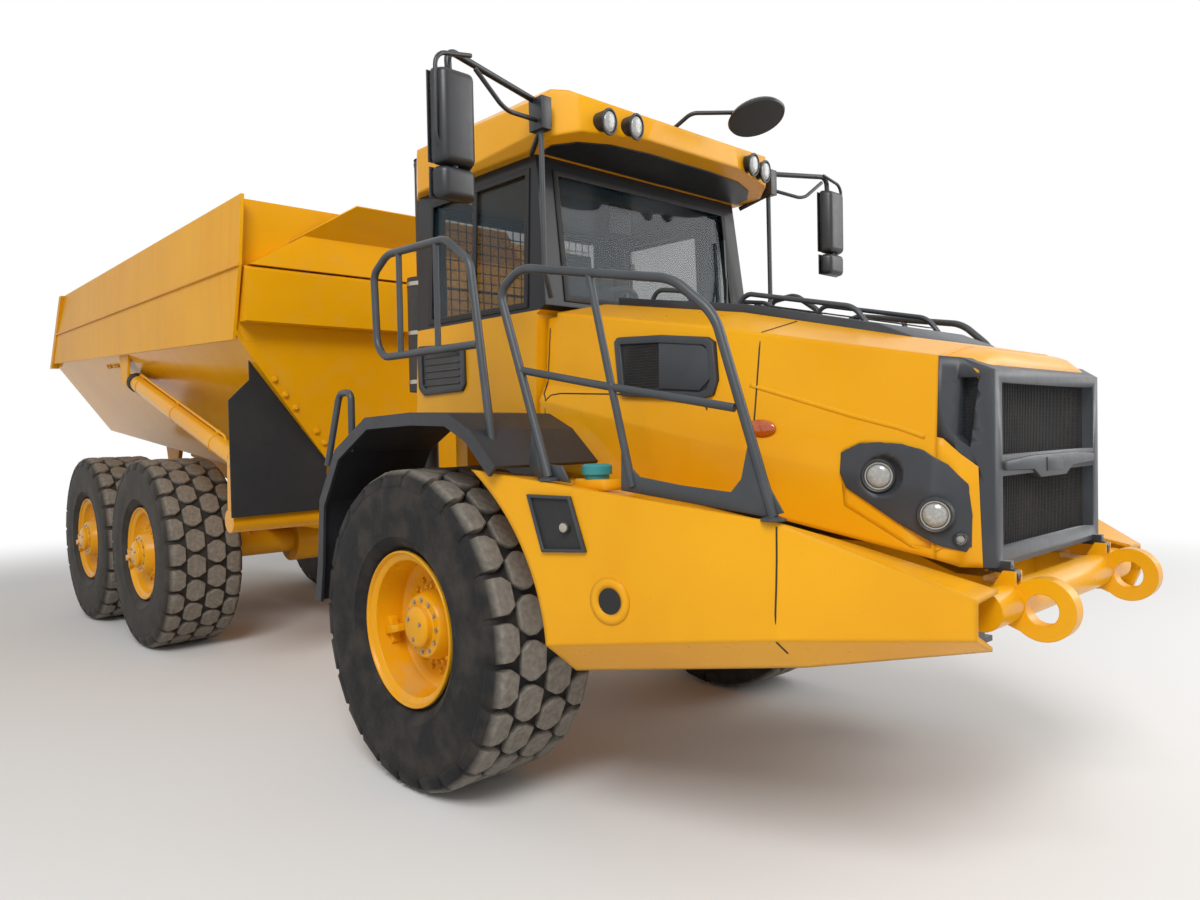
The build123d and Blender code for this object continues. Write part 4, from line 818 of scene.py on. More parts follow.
# %% Handrails
rail_radius = 0.019
front_rail = [(1.010, -1.352, 1.552), (0.706, -1.352, 2.350), (0.850, -1.350, 2.433),
              (1.590, -1.222, 2.300), (1.762, -1.192, 2.150), (1.985, -1.166, 1.432)]
fender_rail = [(0.698, -1.400, 1.655), (0.558, -1.400, 2.500), (0.370, -1.400, 2.630),
               (-0.150, -1.400, 2.640), (-0.285, -1.400, 2.560), (-0.268, -1.400, 2.200),
               (-0.200, -1.400, 2.130), (0.610, -1.400, 2.130)]
short_rail = [(0.698, 1.400, 1.655), (0.558, 1.400, 2.500), (0.370, 1.400, 2.630), (0.180, 1.400, 2.610),
              (0.150, 1.400, 2.400), (0.150, 1.400, 1.842)]
low_handle = [(-0.718, -1.465, 1.575), (-0.690, -1.400, 1.970), (-0.560, -1.400, 1.970),
              (-0.560, -1.400, 1.650)]


def route(points):
    """A list of places given from the front axle."""
    return [spot(*p) for p in points]


def flip(points):
    """The same places on the other side."""
    return [(x, -y, z) for x, y, z in points]


bent_rails = [(front_rail, 0.055), (flip(front_rail), 0.055), (fender_rail, 0.04), (short_rail, 0.04),
              (low_handle, 0.04)]
rails = [tube("rail", route(points), rail_radius, bend) for points, bend in bent_rails]
for x, z in ((-0.04, 2.640), (0.29, 2.632)):
    rails.append(tube("post", route([(x, -1.400, 2.13), (x, -1.400, z)]), rail_radius * 0.8))
middle_rail = [(0.828, -1.352, 2.005), (1.255, -1.284, 1.920), (1.843, -1.188, 1.812)]
middle_post = [(1.206, -1.288, 2.365), (1.304, -1.276, 1.938), (1.399, -1.258, 1.520)]
for points in (middle_rail, middle_post):
    rails.append(tube("inner_rail", route(points), rail_radius * 0.85, 0.05))
    rails.append(tube("inner_rail", route(flip(points)), rail_radius * 0.85, 0.05))
for points in (front_rail, flip(front_rail)):
    for end in (points[0], points[-1]):
        rails.append(lathe("foot", [(0, 0), (0, 0.045), (0.008, 0.045), (0.016, 0.022), (0.016, 0)],
                           spot(end[0], end[1], end[2] - 0.014), (0, 0, 1), 20))
finished(joined(rails, "round_rails"), rail_coat, "front_frame", angle=50, replaces=["handrails"])
print("rails done")

# %% [markdown]
# ## Grab poles beside the windscreen
# A pole stands in front of each front pillar, for the climb to the cab. Its ends bend back to the
# pillar.

# %% Grab poles
pole = [(0.500, -0.925, 3.200), (0.505, -0.925, 2.520), (0.455, -0.845, 2.405)]
poles = [tube("pole", route(points), 0.014, 0.03) for points in (pole, flip(pole))]
finished(joined(poles, "grab_poles"), rail_coat, "front_frame", angle=50)
print("grab poles", len(poles))

# %% [markdown]
# ## Mirrors
# Each side has a tall flat mirror and a small wide-angle one below it, in moulded housings on a bent
# tube. The glass faces backwards. A round mirror hangs in front of the roof, so that the driver sees
# the ground ahead of the bonnet, and a short post beside the roof can carry a beacon.

# %% Side mirrors
cad_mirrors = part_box("mirrors")
mirror_top = cad_mirrors[1].z
mirror_out = cad_mirrors[1].y
mirror_x = 0.605
# Columns: name, drop from the top to the glass's upper and lower edge, depth of the housing.
mirror_sizes = [("head", 0.125, 0.515, 0.085), ("low_head", 0.535, 0.665, 0.075)]


def mirror_head(name, high, low, depth):
    """A moulded mirror housing with its glass at the back, on the right side."""
    y0, y1 = -mirror_out + 0.005, -mirror_out + 0.222
    front = mirror_x + depth / 2
    outline = [spot(front, y0 + 0.03, low), spot(front, y1 - 0.03, low), spot(front, y1 - 0.03, high),
               spot(front, y0 + 0.03, high)]
    shell = trace(name, outline)
    pull((-depth, 0, 0))
    middle = spot(front, (y0 + y1) / 2, (high + low) / 2)
    bpy.ops.transform.resize(value=(1, 1.36, 1.08), center_override=middle)
    modified(shell, "BEVEL", width=0.026, segments=4, limit_method="ANGLE")
    corners = ((y0, low), (y1, low), (y1, high), (y0, high))
    glass = ring("rim", [spot(mirror_x - depth / 2, y, z) for y, z in corners], 0.012, (-0.006, 0, 0))
    return joined([shell, glass], name)


heads = []
for name, up, down, depth in mirror_sizes:
    heads.append(mirror_head(name, mirror_top - up, mirror_top - down, depth))
arm = [(0.46, -0.86, 3.33), (0.56, -1.497, 3.40), (0.605, -1.497, 2.80)]
heads.append(tube("arm", route(arm), 0.016, 0.05))
brace = [(0.50, -0.95, 3.235), (0.575, -1.20, 3.205), (0.600, -1.38, 3.335)]
heads.append(tube("brace", route(brace), 0.011, 0.05))
loop = [(0.600, -1.400, 3.385), (0.612, -1.592, 3.345), (0.612, -1.600, 2.960), (0.605, -1.500, 2.895)]
heads.append(tube("loop", route(loop), 0.010, 0.05))
arm_foot = [(0.445, -0.955, 3.190), (0.545, -0.955, 3.190), (0.545, -0.955, 3.345), (0.445, -0.955, 3.345)]
heads.append(sheet("bracket", route(arm_foot), (0, 0.060, 0)))
heads.append(tube("stay", route([(0.495, -0.925, 3.20), (0.330, -0.850, 3.130)]), 0.013))
finished(both_sides(joined(heads, "side_mirrors")), cab_black, "front_frame", 0.008, 40, ["mirrors"])
panes = []
for name, up, down, depth in mirror_sizes:
    high, low = mirror_top - up, mirror_top - down
    x = mirror_x - depth / 2 - 0.003
    y0, y1, z0, z1 = -mirror_out + 0.018, -mirror_out + 0.209, low + 0.012, high - 0.012
    pane = [spot(x, y, z) for y, z in ((y0, z0), (y1, z0), (y1, z1), (y0, z1))]
    panes.append(sheet("pane", pane, (-0.002, 0, 0)))
finished(both_sides(joined(panes, "mirror_panes")), mirror_face, "front_frame")
print("mirrors reach", round(mirror_out, 3), "from the middle")

# %% Forward mirror and beacon stub
dish = [(0, 0), (0, 0.146), (0.012, 0.152), (0.030, 0.140), (0.046, 0.080), (0.050, 0)]
forward = lathe("dish", dish, spot(0.985, 0.15, 3.362), (-0.35, 0.1, 1), 40)
forward_way = [(0.62, -0.12, 3.335), (0.74, -0.09, 3.405), (0.985, 0.15, 3.398)]
forward_arm = tube("arm", route(forward_way), 0.011, 0.03)
finished(joined([forward, forward_arm], "forward_mirror"), cab_black, "front_frame", angle=40)
stub = [(0, 0), (0, 0.040), (0.03, 0.040), (0.034, 0.030), (0.060, 0.030), (0.064, 0.040), (0.090, 0.040),
        (0.094, 0.026), (0.120, 0.022), (0.120, 0)]
beacon = lathe("beacon_stub", stub, spot(0.40, 0.905, 3.31), (0, 0, 1), 28)
finished(beacon, cab_black, "front_frame", angle=40)
print("mirrors done")

# %% [markdown]
# ## Windows
# Each pane sits in a black rubber seal. A seal is a frame: the pane's outline, inset and extruded.
# The windscreen leans back, so its outline is four points on its own slope.

# %% The cab's walls and windscreen
def wall_y(z):
    """Half width of the cab's wall at a height."""
    return 0.860 - 0.058 * (z - 1.760) / 1.390


def screen_x(z):
    """How far forward the windscreen lies at a height."""
    return 0.398 - 0.090 * (z - 2.376) / 0.774


def on_wall(points, side, out):
    """Places on the cab's side wall, given as X and Z and moved outwards."""
    return [spot(x, side * (wall_y(z) + out), z) for x, z in points]


def on_screen(y, z, out):
    """A place on the windscreen, moved forwards."""
    return spot(screen_x(z) + out, y, z)

# %% Window seals
seal_width = 0.032
seal_sunk = 0.004
seal_thick = 0.012
seals = []
# Side windows. Columns: rear X, front X, low Z, high Z, side.
side_windows = [(-0.662, 0.262, 2.373, 3.092, -1), (0.158, 0.262, 2.373, 3.092, 1)]
for x0, x1, z0, z1, side in side_windows:
    corners = [(x0, z0), (x1, z0), (x1, z1), (x0, z1)]
    seals.append(ring("seal", on_wall(corners, side, -seal_sunk), seal_width, (0, side * seal_thick, 0)))
front_corners = [(-0.702, 2.403), (0.702, 2.403), (0.702, 3.092), (-0.702, 3.092)]
front_edge = [on_screen(y, z, -seal_sunk) for y, z in front_corners]
seals.append(ring("seal", front_edge, seal_width, (seal_thick, 0, 0)))
rear_corners = [(-0.662, 2.373), (0.662, 2.373), (0.662, 3.092), (-0.662, 3.092)]
seals.append(ring("seal", [spot(-0.786, y, z) for y, z in rear_corners], seal_width, (-seal_thick, 0, 0)))
# The right window slides: a bar stands where its two panes meet.
bar = [(-0.235, 2.385), (-0.200, 2.385), (-0.200, 3.080), (-0.235, 3.080)]
seals.append(sheet("bar", on_wall(bar, -1, -0.010), (0, -0.014, 0)))
finished(joined(seals, "window_seals"), seal_rubber, "front_frame", 0.003)
door_pane = [(-0.632, 1.978), (0.042, 1.978), (0.042, 3.032), (-0.632, 3.032)]
door_seal = ring("door_seal", on_wall(door_pane, 1, -seal_sunk), seal_width, (0, seal_thick, 0))
finished(door_seal, seal_rubber, "cab_door", 0.003)
print("window seals", len(seals) + 1)

# %% [markdown]
# ## Panel under the side window
# Under the right side window a dark panel with slats is let into the cab's wall. It could be cut into
# the wall. A frame, a thin floor and slats laid on the wall look the same and are quicker to make.

# %% Panel under the side window
recess = [(-0.770, 2.240), (-0.750, 2.260), (-0.320, 2.235), (-0.288, 2.205), (-0.272, 2.010),
          (-0.300, 1.975), (-0.690, 1.965), (-0.745, 2.010)]
frame_ring = ring("recess_ring", on_wall(recess, -1, 0.001), 0.040, (0, -0.016, 0))
finished(frame_ring, moulded_grey, "front_frame", 0.004)
recess_floor = sheet("recess_floor", on_wall(recess, -1, 0.001), (0, -0.003, 0))
finished(recess_floor, cab_black, "front_frame")
slats = []
for i in range(5):
    z = 2.030 + 0.040 * i
    inner_y, outer_y = -wall_y(z) - 0.002, -wall_y(z) - 0.010
    slat = [spot(-0.700, inner_y, z), spot(-0.340, inner_y, z), spot(-0.340, outer_y, z - 0.012),
            spot(-0.700, outer_y, z - 0.012)]
    slats.append(sheet("slat", slat, (0, 0, 0.004)))
finished(joined(slats, "recess_slats"), moulded_grey, "front_frame")
print("slats", len(slats))

# %% [markdown]
# ## Wiper, window guard and inner mirror
# One wiper is parked beside the left pillar. Behind the rear window a guard of thin round bars keeps
# stones out: a bar is drawn and repeated both ways. A mirror hangs from the roof inside.

# %% Wiper
wiper_foot, wiper_tip = (0.560, 2.415), (0.628, 2.660)
blade_low, blade_high = (0.600, 2.440), (0.640, 2.900)
arm = tube("arm", [on_screen(*wiper_foot, 0.02), on_screen(*wiper_foot, 0.05), on_screen(*wiper_tip, 0.03)],
           0.007, 0.02, 2)
blade = sheet("blade", [on_screen(*blade_low, 0.010), on_screen(*blade_high, 0.010),
                        on_screen(*blade_high, 0.030), on_screen(*blade_low, 0.030)], (0, 0.012, 0))
pivot = [(0, 0), (0, 0.024), (0.03, 0.022), (0.036, 0.012), (0.036, 0)]
pivot_cap = lathe("cap", pivot, on_screen(*wiper_foot, 0.0), (1, 0, 0.1), 20)
finished(joined([arm, blade, pivot_cap], "wipers"), cab_black, "front_frame", angle=40)
print("wiper blade is", round(blade_high[1] - blade_low[1], 3), "high")

# %% Guard behind the rear window
guard_half, guard_low, guard_high = 0.62, 2.39, 3.07
guard_bars = []
for i in range(21):
    y = -guard_half + 0.062 * i
    guard_bars.append(tube("bar", route([(-0.835, y, guard_low), (-0.835, y, guard_high)]), 0.004, 0, 1))
for i in range(12):
    z = guard_low + 0.0618 * i
    guard_bars.append(tube("bar", route([(-0.842, -guard_half, z), (-0.842, guard_half, z)]), 0.004, 0, 1))
for y in (-guard_half, guard_half):
    for z in (guard_low, guard_high):
        guard_bars.append(tube("stay", route([(-0.785, y, z), (-0.843, y, z)]), 0.009, 0, 2))
finished(joined(guard_bars, "rear_window_guard"), rail_coat, "front_frame", angle=50)
print("guard bars", len(guard_bars))

# %% Inner mirror
inner_edge = [(-0.115, 2.880), (0.060, 2.880), (0.060, 3.050), (-0.115, 3.050)]
inner = sheet("inner", [spot(0.12, y, z) for y, z in inner_edge], (0.020, 0, 0))
modified(inner, "BEVEL", width=0.028, segments=3, limit_method="ANGLE", affect="EDGES")
stalk = tube("stalk", route([(0.130, -0.028, 3.03), (0.130, -0.028, 3.15)]), 0.008)
finished(joined([inner, stalk], "inner_mirror"), cab_black, "front_frame", angle=40)
print("windows done")

# %% [markdown]
# ## Lamps
# Two round lamps sit in each recess beside the grille and four more look out from under the roof's
# brow. Each has a bezel and a domed lens. The brow's lamps come first, with a black sheet of painted
# shade behind them, where the roof's underside lies in shade. An oval amber marker sits on each side
# of the bonnet.

# %% Lamps
lens_dome = [(0, 0), (0, 1.0), (0.10, 1.0), (0.26, 0.86), (0.36, 0.5), (0.40, 0)]
bezel = [(0, 0.96), (0, 1.16), (0.16, 1.16), (0.22, 1.08), (0.20, 0.98), (0, 0.96)]


def sized(profile, size):
    """A profile made larger or smaller."""
    return [(along * size, radius * size) for along, radius in profile]


brow_domes, brow_bezels = [], []
for x, y, z in ((0.680, 0.642, 3.250), (0.712, 0.485, 3.252)):
    for side in (-1, 1):
        at = spot(x, side * y, z)
        for pile, profile, size in ((brow_domes, lens_dome, 0.040), (brow_bezels, bezel, 0.044)):
            pile.append(lathe("lamp", sized(profile, size), at, (1, 0, -0.12), 32))
            bpy.ops.transform.resize(value=(1, 1, 1.3), center_override=at)
finished(joined(brow_domes, "brow_lenses"), clear_lens, "front_frame", angle=50)
finished(joined(brow_bezels, "brow_bezels"), cab_black, "front_frame", angle=50)
# A black sheet of painted shade covers the roof's yellow underside over the windscreen, where it lies in
# shade. Columns: X, Y.
painted_shade_edge = [(0.345, 0.800), (0.430, 0.800), (0.515, 0.700), (0.570, 0.520), (0.590, 0.260)]
painted_shade_edge += [(x, -y) for x, y in reversed(painted_shade_edge)]
shade = [touch("cab_roof", spot(x, y, 2.6), (0, 0, 1))[0] - Vector((0, 0, 0.001)) for x, y in painted_shade_edge]
finished(sheet("brow_painted_shade", shade, (0, 0, -0.006)), cab_black, "front_frame")


def on_bonnet(x, z, out=0.0):
    """A place on the bonnet's right side, a little outside it."""
    return laid("bonnet", spot(x, -2.0, z), (0, 1, 0), out)


marker_place = on_bonnet(1.63, 1.735)
marker = fresh("uv_sphere", "side_marker", segments=32, ring_count=12, radius=0.045)
bpy.ops.transform.resize(value=(1.7, 0.42, 0.85))
bpy.ops.transform.translate(value=marker_place)
bpy.ops.object.transform_apply(location=True, rotation=True, scale=True)
finished(both_sides(marker), amber_lens, "bonnet", angle=60)
print("lamps done")

# %% [markdown]
# ## Bonnet
# The bonnet is moulded in panels that meet in narrow dark joints. A joint is drawn as a thin dark line
# laid on the surface, which is found by sending rays at the construction. Along the middle of its top
# runs a raised dark panel with grip strips and low rails, for whoever cleans the windscreen.

# %% Bonnet joints
def side_line(points):
    """A thin line laid on the bonnet's right side, through places given as X and Z."""
    places = [on_bonnet(x, z, 0.0005) for x, z in points]
    # A ray that misses the bonnet gives its start, far outside, and that place is left out.
    return tube("line", [place for place in places if place.y > -1.0], 0.0035, 0.0, 1)


def steps_between(a, b, count):
    """Places spread evenly from one to the other."""
    return [(a[0] + (b[0] - a[0]) * i / count, a[1] + (b[1] - a[1]) * i / count) for i in range(count + 1)]


arch_joint = [(0.385, 1.907), (0.390, 1.820), (0.398, 1.728), (0.436, 1.659), (0.485, 1.615),
              (0.542, 1.579)]
lines = [
    side_line(steps_between((1.60, 2.195), (1.60, 1.44), 12)),
    side_line(steps_between((0.365, 2.330), (0.365, 1.930), 6) + arch_joint),
    side_line([(0.390, 1.893), (0.415, 1.922)] + steps_between((0.480, 1.928), (1.290, 1.885), 10)
              + [(1.345, 1.870), (1.370, 1.820)]),
]
finished(both_sides(joined(lines, "bonnet_joints")), seal_rubber, "bonnet", angle=60)
print("bonnet joints", len(lines))

# %% [markdown]
# ## Air inlets
# On each side of the bonnet a rounded dark frame surrounds an air inlet: woven mesh at its rear and a
# smooth scoop in front. The construction has a plain insert there. Three rays find the plane of the
# bonnet's side, and the frame, a black floor of painted shade for the dark opening behind the mesh,
# the scoop and the mesh are laid on that plane.

# %% Air inlets on the bonnet's sides
def beside_bonnet(points, out=0.0):
    """Places on the flat of the bonnet's right side, found from three rays around the inlet."""
    a, b, c = (on_bonnet(x, z) for x, z in ((0.860, 2.020), (1.520, 2.020), (1.200, 2.180)))
    normal = (b - a).cross(c - a).normalized()
    normal = normal if normal.y < 0 else -normal
    places = []
    for x, z in points:
        place = spot(x, 0, z)
        place.y = a.y - ((place.x - a.x) * normal.x + (place.z - a.z) * normal.z) / normal.y
        places.append(place + normal * out)
    return places


inlet_edge = [(0.830, 2.155), (0.848, 2.175), (1.100, 2.164), (1.350, 2.134), (1.388, 2.110),
              (1.418, 1.945), (1.402, 1.882), (1.335, 1.864), (0.905, 1.898), (0.878, 1.922)]
scoop_edge = [(1.090, 2.130), (1.322, 2.104), (1.356, 2.080), (1.380, 1.950), (1.330, 1.902),
              (1.110, 1.920)]
inlet = ring("inlet_frame", beside_bonnet(inlet_edge, -0.014), 0.034, (0, -0.042, 0))
finished(both_sides(inlet), moulded_grey, "bonnet", 0.006)
# A black floor of painted shade stands for the dark opening behind the inlet's mesh.
inlet_shade_floors = sheet("inlet_painted_shade", beside_bonnet(inlet_edge, 0.002), (0, -0.014, 0))
finished(both_sides(inlet_shade_floors), seal_rubber, "bonnet", replaces=["side_vents"])
scoop = sheet("inlet_scoop", beside_bonnet(scoop_edge, 0.006), (0, -0.017, 0))
finished(both_sides(scoop), moulded_grey, "bonnet", 0.004)
inlet_bars = []
for i in range(13):
    x = 0.925 + 0.0130 * i
    inlet_bars.append(tube("bar", beside_bonnet([(x, 1.925), (x, 2.140)], 0.018), 0.0014, 0, 0))
for i in range(16):
    z = 1.935 + 0.0130 * i
    inlet_bars.append(tube("bar", beside_bonnet([(0.905, z), (1.100, z)], 0.020), 0.0014, 0, 0))
finished(both_sides(joined(inlet_bars, "inlet_mesh")), soot_steel, "bonnet")
print("inlets done")

# %% Crease along the bonnet's sides
crease_line = [(1.568, 1.916), (1.680, 1.882), (1.797, 1.846), (2.007, 1.781), (2.200, 1.729),
               (2.292, 1.695)]
crease = tube("side_crease", [on_bonnet(x, z, -0.008) for x, z in crease_line], 0.0125, 0.0, 3)
finished(both_sides(crease), yellow_moulding, "bonnet", angle=60)
print("crease points", len(crease_line))


def bonnet_top(x, y, out=0.0):
    """A place on top of the bonnet."""
    return touch("bonnet", spot(x, y, 4.0), (0, 0, -1))[0] + Vector((0, 0, out))


# %% Raised panel and low rails
crown_low = [(0.470, 2.395), (1.300, 2.262), (2.130, 2.072)]
crown_high = [(2.100, 2.094), (1.960, 2.156), (1.300, 2.310), (0.470, 2.441)]
lid = sheet("top_panel", [spot(x, -0.392, z) for x, z in crown_low + crown_high], (0, 0.784, 0))
finished(lid, moulded_grey, "bonnet", 0.012)
grip_strips = []
for i in range(15):
    x = 0.62 + 0.088 * i
    z = bonnet_top(x, 0).z + 0.044
    strip = [spot(x, -0.24, z), spot(x + 0.040, -0.24, z - 0.008), spot(x + 0.040, 0.24, z - 0.008),
             spot(x, 0.24, z)]
    grip_strips.append(sheet("strip", strip, (0, 0, 0.005)))
finished(joined(grip_strips, "grip_strips"), flap_rubber, "bonnet", 0.001)
low_rails = []
for x0, x1, half in ((1.20, 1.90, 0.330), (0.66, 0.98, 0.350)):
    for side in (-1, 1):
        y = side * half
        ends = [bonnet_top(x0, y), bonnet_top(x0 + 0.05, y, 0.092), bonnet_top(x1 - 0.08, y, 0.092),
                bonnet_top(x1, y)]
        low_rails.append(tube("rail", ends, 0.012, 0.04))
finished(joined(low_rails, "bonnet_rails"), rail_coat, "bonnet", angle=50)
print("bonnet done")

# %% [markdown]
# ## Grille mesh
# The radiator looks out through fine woven mesh. Two thin bars are drawn, an upright and a level one,
# and copied across each window, one layer just behind the other.

# %% Grille mesh
face_x = 2.486
windows = [(1.290, 1.550), (1.625, 1.887)]
mesh_half = 0.479
mesh_step = 0.0155
wire_half = 0.0012


def mesh_bar(x, y0, y1, z0, z1):
    """One thin flat bar of the mesh."""
    return sheet("bar", route([(x, y0, z0), (x, y1, z0), (x, y1, z1), (x, y0, z1)]), (0.004, 0, 0))


mesh_bars = []
for low, high in windows:
    upright = mesh_bar(face_x - 0.043, -wire_half, wire_half, low, high)
    count = int(mesh_half / mesh_step)
    along = [Matrix.Translation((0, i * mesh_step, 0)) for i in range(-count, count + 1)]
    mesh_bars.append(repeated(upright, along))
    level = mesh_bar(face_x - 0.047, -mesh_half, mesh_half, -wire_half, wire_half)
    levels = int((high - low) / mesh_step)
    upwards = [Matrix.Translation((0, 0, low + i * mesh_step)) for i in range(1, levels + 1)]
    mesh_bars.append(repeated(level, upwards))
mesh = finished(joined(mesh_bars, "woven_mesh"), soot_steel, "bonnet", replaces=["grille_mesh"])
print("mesh faces", len(mesh.data.polygons))

# %% [markdown]
# ## Nose: cheeks, side slots and lamp housings
# The construction's grille is one dark frame. On the real nose its rear edge steps forwards halfway
# down, and the yellow bonnet fills that corner as a cheek. So the grille's mesh is copied, and the
# Boolean modifier splits it: what lies in the corner turns yellow and the rest stays dark. Slots for
# more mesh are cut in the dark frame's sides, and a moulded bar with a bare plate crosses its middle.
# The lamp housing is drawn as a grid on the skin.

# %% A copy that can be cut
def copied(node, name):
    """A merged copy of a node of the frame, free to be changed."""
    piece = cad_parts[node].copy()
    piece.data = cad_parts[node].data.copy()
    piece.name = name
    bpy.context.scene.collection.objects.link(piece)
    for key in list(piece.keys()):
        del piece[key]
    edit(piece)
    merge()
    alone()
    return piece


def carved(piece, tool, way):
    """Cuts a piece by a closed shape, or keeps what they share."""
    edit(tool)
    bpy.ops.mesh.normals_make_consistent(inside=False)
    alone()
    modified(piece, "BOOLEAN", object=tool, operation=way, solver="EXACT")
    return piece


def side_prisms(outline, inner, outer):
    """A shape from a side outline between two half widths, on both sides of the machine."""
    prism = sheet("prism", [spot(x, -outer, z) for x, z in outline], (0, outer - inner, 0))
    return both_sides(prism)


# %% Grille frame and cheeks
corner = [(2.300, 1.100), (2.300, 1.702), (2.348, 1.690), (2.444, 1.588), (2.458, 1.100)]
side_slot = [(2.390, 1.905), (2.446, 1.903), (2.424, 1.655), (2.381, 1.702)]
bar_front = max(touch("grille", spot(3.2, y, 1.587), (-1, 0, 0))[0].x - axle_x for y in (0.0, 0.2))
crossbar = [(-0.470, 1.604), (-0.210, 1.618), (0.210, 1.618), (0.470, 1.604), (0.470, 1.570),
            (0.205, 1.562), (0.135, 1.528), (-0.135, 1.528), (-0.205, 1.562), (-0.470, 1.570)]
bar_edge = [spot(bar_front - 0.032, y, z) for y, z in crossbar]
finished(sheet("grille_bar", bar_edge, (0.042, 0, 0)), moulded_grey, "bonnet", 0.008)
plate = [(-0.085, 1.552), (0.085, 1.552), (0.085, 1.606), (-0.085, 1.606)]
plate_edge = [spot(bar_front + 0.008, y, z) for y, z in plate]
finished(sheet("bare_plate", plate_edge, (0.005, 0, 0)), cab_black, "bonnet", 0.002)
print("grille bar stands at", round(bar_front, 3))
corner_tool = side_prisms(corner, 0.502, 0.800)
slot_tool = side_prisms(side_slot, 0.545, 0.800)
cheeks = carved(copied("grille", "nose_cheeks"), corner_tool, "INTERSECT")
finished(cheeks, yellow_moulding, "bonnet")
dark_frame = carved(copied("grille", "grille_frame"), corner_tool, "DIFFERENCE")
dark_frame = carved(dark_frame, slot_tool, "DIFFERENCE")
finished(dark_frame, moulded_grey, "bonnet", replaces=["grille"])
bpy.data.objects.remove(corner_tool)
bpy.data.objects.remove(slot_tool)
print("grille frame faces", len(dark_frame.data.polygons))

# %% Mesh in the side slots
slot_bars = []
for i in range(6):
    x = 2.380 + 0.0125 * i
    slot_bars.append(tube("bar", route([(x, -0.566, 1.650), (x, -0.566, 1.910)]), 0.0014, 0, 0))
for i in range(21):
    z = 1.655 + 0.0125 * i
    slot_bars.append(tube("bar", route([(2.378, -0.569, z), (2.450, -0.569, z)]), 0.0014, 0, 0))
finished(both_sides(joined(slot_bars, "slot_mesh")), soot_steel, "bonnet")
print("slot bars on each side", len(slot_bars))


# %% The skin of the nose
def between(x, rows):
    """A value read from rows of X and value, in a straight line between them."""
    for (x0, v0), (x1, v1) in zip(rows, rows[1:]):
        if x <= x1:
            return v0 + (v1 - v0) * (x - x0) / (x1 - x0)
    return rows[-1][1]


def skin_y(x, z):
    """Half width of the nose at a place on its side."""
    high = between(x, [(1.300, 0.770), (2.330, 0.668), (2.400, 0.628), (2.486, 0.541)])
    low = between(x, [(1.300, 0.800), (2.330, 0.690), (2.400, 0.633), (2.486, 0.541)])
    high_z = between(x, [(1.300, 1.850), (2.330, 1.690), (2.486, 1.690)])
    low_z = between(x, [(1.300, 1.700), (2.330, 1.500), (2.486, 1.500)])
    return high + (low - high) * min(max((high_z - z) / (high_z - low_z), 0), 1)


# %% Lamp housings
lamp_outline = [(1.984, 1.640), (2.054, 1.675), (2.126, 1.678), (2.210, 1.672), (2.290, 1.650),
                (2.370, 1.598), (2.423, 1.528), (2.432, 1.420), (2.430, 1.312), (2.416, 1.288),
                (2.359, 1.306), (2.204, 1.386), (2.010, 1.508), (1.981, 1.570)]
housing = fresh("grid", "lamp_housing", x_subdivisions=46, y_subdivisions=42, size=1.0)
bpy.ops.object.mode_set(mode="EDIT")
bpy.ops.mesh.select_all(action="SELECT")
bpy.ops.transform.resize(value=(0.46, 0.42, 1))
turn_up = Matrix.Rotation(math.pi / 2, 4, "X")
bpy.ops.object.mode_set(mode="OBJECT")
housing.data.transform(Matrix.Translation(spot(2.215, -0.68, 1.475)) @ turn_up)
edit(housing)
middle = Vector((2.22, 1.48))
for (x0, z0), (x1, z1) in zip(lamp_outline, lamp_outline[1:] + lamp_outline[:1]):
    away = Vector((z1 - z0, x0 - x1))
    if away.dot(Vector((x0, z0)) - middle) < 0:
        away = -away
    bpy.ops.mesh.select_all(action="SELECT")
    bpy.ops.mesh.bisect(plane_co=spot(x0, 0, z0), plane_no=(away.x, 0, away.y), clear_outer=True)
alone()
lamp_places = [(2.125, 1.553, 0.052), (2.338, 1.420, 0.052), (2.404, 1.335, 0.020)]
for vertex in housing.data.vertices:
    x, z = vertex.co.x - axle_x, vertex.co.z
    depth = -0.010
    for (cx, cz, size), sink in zip(lamp_places, (0.030, 0.005)):
        reach = math.hypot(x - cx - 0.02, z - cz)
        depth += sink * max(0.0, 1 - (reach / 0.078) ** 4)
    vertex.co.y = -skin_y(x, z) + depth
modified(housing, "SOLIDIFY", thickness=0.010, offset=-1 if housing.data.polygons[0].normal.y < 0 else 1)
housing = finished(both_sides(housing), moulded_grey, "bonnet", 0.003, replaces=["headlamps"])
print("lamp housing faces", len(housing.data.polygons))

# %% Strips of bonnet under the housings, and the lip above the grille
strips = []
for quad in ([(1.982, 1.575), (2.022, 1.575), (2.022, 1.490), (1.996, 1.440)],
             [(1.996, 1.440), (2.005, 1.525), (2.215, 1.394), (2.245, 1.300)],
             [(2.245, 1.300), (2.215, 1.394), (2.370, 1.312), (2.334, 1.288)]):
    strips.append(sheet("strip", [spot(x, -skin_y(x, z) - 0.0015, z) for x, z in quad], (0, 0.012, 0)))
finished(both_sides(joined(strips, "housing_strips")), yellow_moulding, "bonnet")
lip_back = [(-0.640, 1.980), (-0.390, 2.034), (0.390, 2.034), (0.640, 1.980), (0.610, 1.945),
            (-0.610, 1.945)]
lip = trace("nose_lip", [spot(2.316, y, z) for y, z in lip_back])
for step, narrower in (((0.060, 0, -0.014), 0.970), ((0.045, 0, -0.018), 0.965),
                       ((0.026, 0, -0.024), 0.980)):
    pull(step)
    bpy.ops.transform.resize(value=(1, narrower, 1), center_override=spot(2.4, 0, 1.95))
finished(lip, yellow_moulding, "bonnet", 0.006, angle=45)
print("nose lip faces", len(lip.data.polygons))

